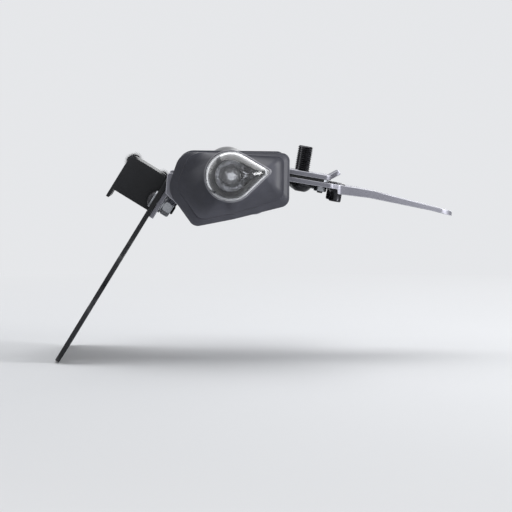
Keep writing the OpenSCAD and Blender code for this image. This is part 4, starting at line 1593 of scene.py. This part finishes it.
        rings = [dome(k, self.lens_h - wall, inner) for k in range(steps, -1, -1)]
        rings += [dome(k, self.lens_h, outer) for k in range(steps + 1)]
        rings.append(self.pod_ring(base + self.lens_h - 0.02, crown))
        self.add("lens", "domed", Shape().loft(rings), [FINISHES[Slot.CLEAR_PLASTIC]])

    def fixings(self) -> None:
        """The hollow threaded stud, its backing plate and nut, inside the ear."""
        inner = self.foot_y - LAYOUT.sheet_t - self.backing_t - self.nut_h - self.stud_spare
        length = self.foot_y + self.stud_depth - inner
        plain, runout, chamfer = 13.5, 0.5, 0.4
        radius, bore = self.stud_d / 2 - 0.05, self.stud_bore / 2
        rings = thread(self.stud_d, 1.25, length - plain - runout, 0.0)[::-1]
        rings += [circle(radius, length - plain), circle(radius, length)]
        rings += [circle(bore, length), circle(bore, chamfer), circle(bore + chamfer, 0.0)]
        place = self.outwards(self.stud_at, inner)
        shape = Shape().loft(rings, place, tube=True)
        self.add("stud", "threaded", shape, [FINISHES[Slot.ZINC]])
        EdgeBreak(self.node("backing_plate"), 0.25).build()
        shape = Shape()
        plate = self.foot_y - LAYOUT.sheet_t - self.backing_t
        nut = HexNut(bore=self.stud_d + NUT_SLACK, across=self.nut_across, height=self.nut_h)
        nut.add_to(shape, self.outwards(self.stud_at, plate) @ DOWN)
        self.add("stem_nut", "chamfered", shape, [FINISHES[Slot.ZINC]])


def smooth_row(row: Sequence[tuple[float, float]], steps: int) -> list[tuple[float, float]]:
    """Adds a smooth curve's pairs between the pairs of a row.

    Args:
        row: the pairs to pass through.
        steps: pairs for each gap.

    Returns:
        The longer row.
    """
    result = []
    for i in range(len(row) - 1):
        before, one = row[max(i - 1, 0)], row[i]
        two, after = row[i + 1], row[min(i + 2, len(row) - 1)]
        for k in range(steps):
            t = k / steps
            result.append(tuple(
                0.5 * (2 * b + (c - a) * t + (2 * a - 5 * b + 4 * c - d) * t**2
                       + (3 * b - a - 3 * c + d) * t**3)
                for a, b, c, d in zip(before, one, two, after)
            ))
    return [*result, row[-1]]


def seeing_rays(tree: bpy.types.NodeTree) -> bpy.types.NodeSocket:
    """Tells the rays that show a background, to the camera or in gloss and glass, from the rest.

    Args:
        tree: the world's or a material's node tree.

    Returns:
        1 for such a ray and 0 for any other.
    """
    rays = tree.nodes.new("ShaderNodeLightPath")
    seen = rays.outputs["Is Camera Ray"]
    for kind in ("Is Glossy Ray", "Is Transmission Ray"):
        either = tree.nodes.new("ShaderNodeMath")
        either.operation = "MAXIMUM"
        tree.links.new(seen, either.inputs[0])
        tree.links.new(rays.outputs[kind], either.inputs[1])
        seen = either.outputs["Value"]
    return seen


@dataclass(frozen=True)
class SoftLamp:
    """Square soft lamp: its place from the object's middle and its side in metres, and its watts."""

    name: str
    offset: tuple[float, float, float]
    size: float
    power: float

    def hang(self, middle: Vector) -> None:
        """Hangs the lamp, facing the object.

        Args:
            middle: the object's middle, in metres.
        """
        data = bpy.data.lights.new(self.name, "AREA")
        data.size, data.energy = self.size, self.power
        made = placed(self.name, data)
        made.location = middle + Vector(self.offset)
        made.rotation_euler = (-Vector(self.offset)).to_track_quat("-Z", "Y").to_euler()
        made.visible_camera = False


@dataclass
class Studio:
    """Pale floor, even backdrop, soft lamps and the camera at the photograph's viewing angle."""

    eye: tuple[float, float, float] = (-61.0, -2000.0, 28.8)
    photo_focal: float = 1538.0
    photo_centre: tuple[float, float] = (165.0, 250.0)
    object_centre: tuple[float, float] = (189.0, 315.0)
    closer: float = 2.0
    picture: float = 512.0
    sensor: float = 36.0
    pale: Colour = (0.79, 0.8, 0.82)
    light_tint: Colour = (0.93, 0.96, 1.0)
    light: float = 0.22
    floor_r: float = 8.0
    fade: tuple[float, float] = (0.25, 1.1)
    lamps: tuple[SoftLamp, ...] = (
        SoftLamp("key", (1.35, -0.75, 0.2), 0.9, 31.0),
        SoftLamp("overhead", (0.1, 0.4, 1.5), 1.9, 18.0),
        SoftLamp("left_fill", (-1.3, 0.5, 0.7), 1.0, 2.5),
        SoftLamp("rear_fill", (0.6, 1.5, 0.5), 1.0, 6.0),
    )

    def build(self) -> None:
        """Sets the studio up round the finished object."""
        lowest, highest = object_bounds()
        middle = (lowest + highest) / 2
        self.backdrop()
        self.floor(middle, lowest.z)
        for lamp in self.lamps:
            lamp.hang(middle)
        self.camera()

    def backdrop(self) -> None:
        """Even pale surroundings: dimmer as light than as what the camera and mirrors see."""
        world = bpy.data.worlds.new("studio")
        bpy.context.scene.world = world
        world.use_nodes = True
        tree = world.node_tree
        nodes, links = tree.nodes, tree.links
        nodes.clear()
        seen, light = nodes.new("ShaderNodeBackground"), nodes.new("ShaderNodeBackground")
        seen.inputs["Color"].default_value = (*self.pale, 1.0)
        light.inputs["Color"].default_value = (*self.light_tint, 1.0)
        light.inputs["Strength"].default_value = self.light
        mix = nodes.new("ShaderNodeMixShader")
        links.new(seeing_rays(tree), mix.inputs["Fac"])
        links.new(light.outputs["Background"], mix.inputs[1])
        links.new(seen.outputs["Background"], mix.inputs[2])
        links.new(mix.outputs["Shader"], nodes.new("ShaderNodeOutputWorld").inputs["Surface"])

    def floor(self, middle: Vector, height: float) -> None:
        """A round pale floor under the hanger's edge, which runs out into the backdrop's colour.

        Args:
            middle: middle of the object, in metres.
            height: the object's lowest point, in metres.
        """
        sheet = bmesh.new()
        bmesh.ops.create_circle(sheet, cap_ends=True, segments=96, radius=self.floor_r)
        mesh = bpy.data.meshes.new("floor")
        sheet.to_mesh(mesh)
        sheet.free()
        made = placed("floor", mesh)
        made.location = (middle.x, middle.y, height - FLOOR_GAP)
        board = NodeBoard("pale_floor")
        clouds = board.noise(160.0, 3.0)
        darker = tuple(c * 0.97 for c in self.pale)
        board.into("Base Color", board.blend(clouds, darker, self.pale))
        board.into("Roughness", board.span(clouds, *NOISE_RANGE, 0.7, 0.8))
        board.fixed(Specular_IOR_Level=0.1)
        far = board.add("ShaderNodeVectorMath")
        far.operation = "LENGTH"
        board.link(board.place, far.inputs[0])
        glow = board.add("ShaderNodeEmission")
        glow.inputs["Color"].default_value = (*self.pale, 1.0)
        mix = board.add("ShaderNodeMixShader")
        share = board.span(far.outputs["Value"], *self.fade, 0.0, 1.0)
        board.link(board.product(share, seeing_rays(board.tree)), mix.inputs["Fac"])
        board.link(board.shader.outputs["BSDF"], mix.inputs[1])
        board.link(glow.outputs["Emission"], mix.inputs[2])
        board.link(mix.outputs["Shader"], board.tree.nodes["Material Output"].inputs["Surface"])
        mesh.materials.append(board.material)
        made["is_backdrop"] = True

    def camera(self) -> None:
        """Stands the camera where the photograph was taken from, and brings the object closer."""
        across = math.atan((self.object_centre[0] - self.photo_centre[0]) / self.photo_focal)
        down = math.atan((self.object_centre[1] - self.photo_centre[1]) / self.photo_focal)
        data = bpy.data.cameras.new("camera")
        data.sensor_width = self.sensor
        data.lens = self.closer * self.photo_focal / self.picture * self.sensor
        made = placed("camera", data)
        made.location = Vector(self.eye) * MM
        made.rotation_euler = (math.radians(90) - down, 0.0, -across)
        bpy.context.scene.camera = made
        bpy.context.scene.view_settings.view_transform = "Standard"


def main() -> None:
    """Builds each sub-assembly, then the studio."""
    logging.basicConfig(level=logging.INFO, format="%(name)s: %(message)s")
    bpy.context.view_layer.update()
    Bracket().build()
    Hanger().build()
    PlateLamp().build()
    for side in Side:
        Indicator(side).build()
    Studio().build()


if __name__ == "__main__":
    main()
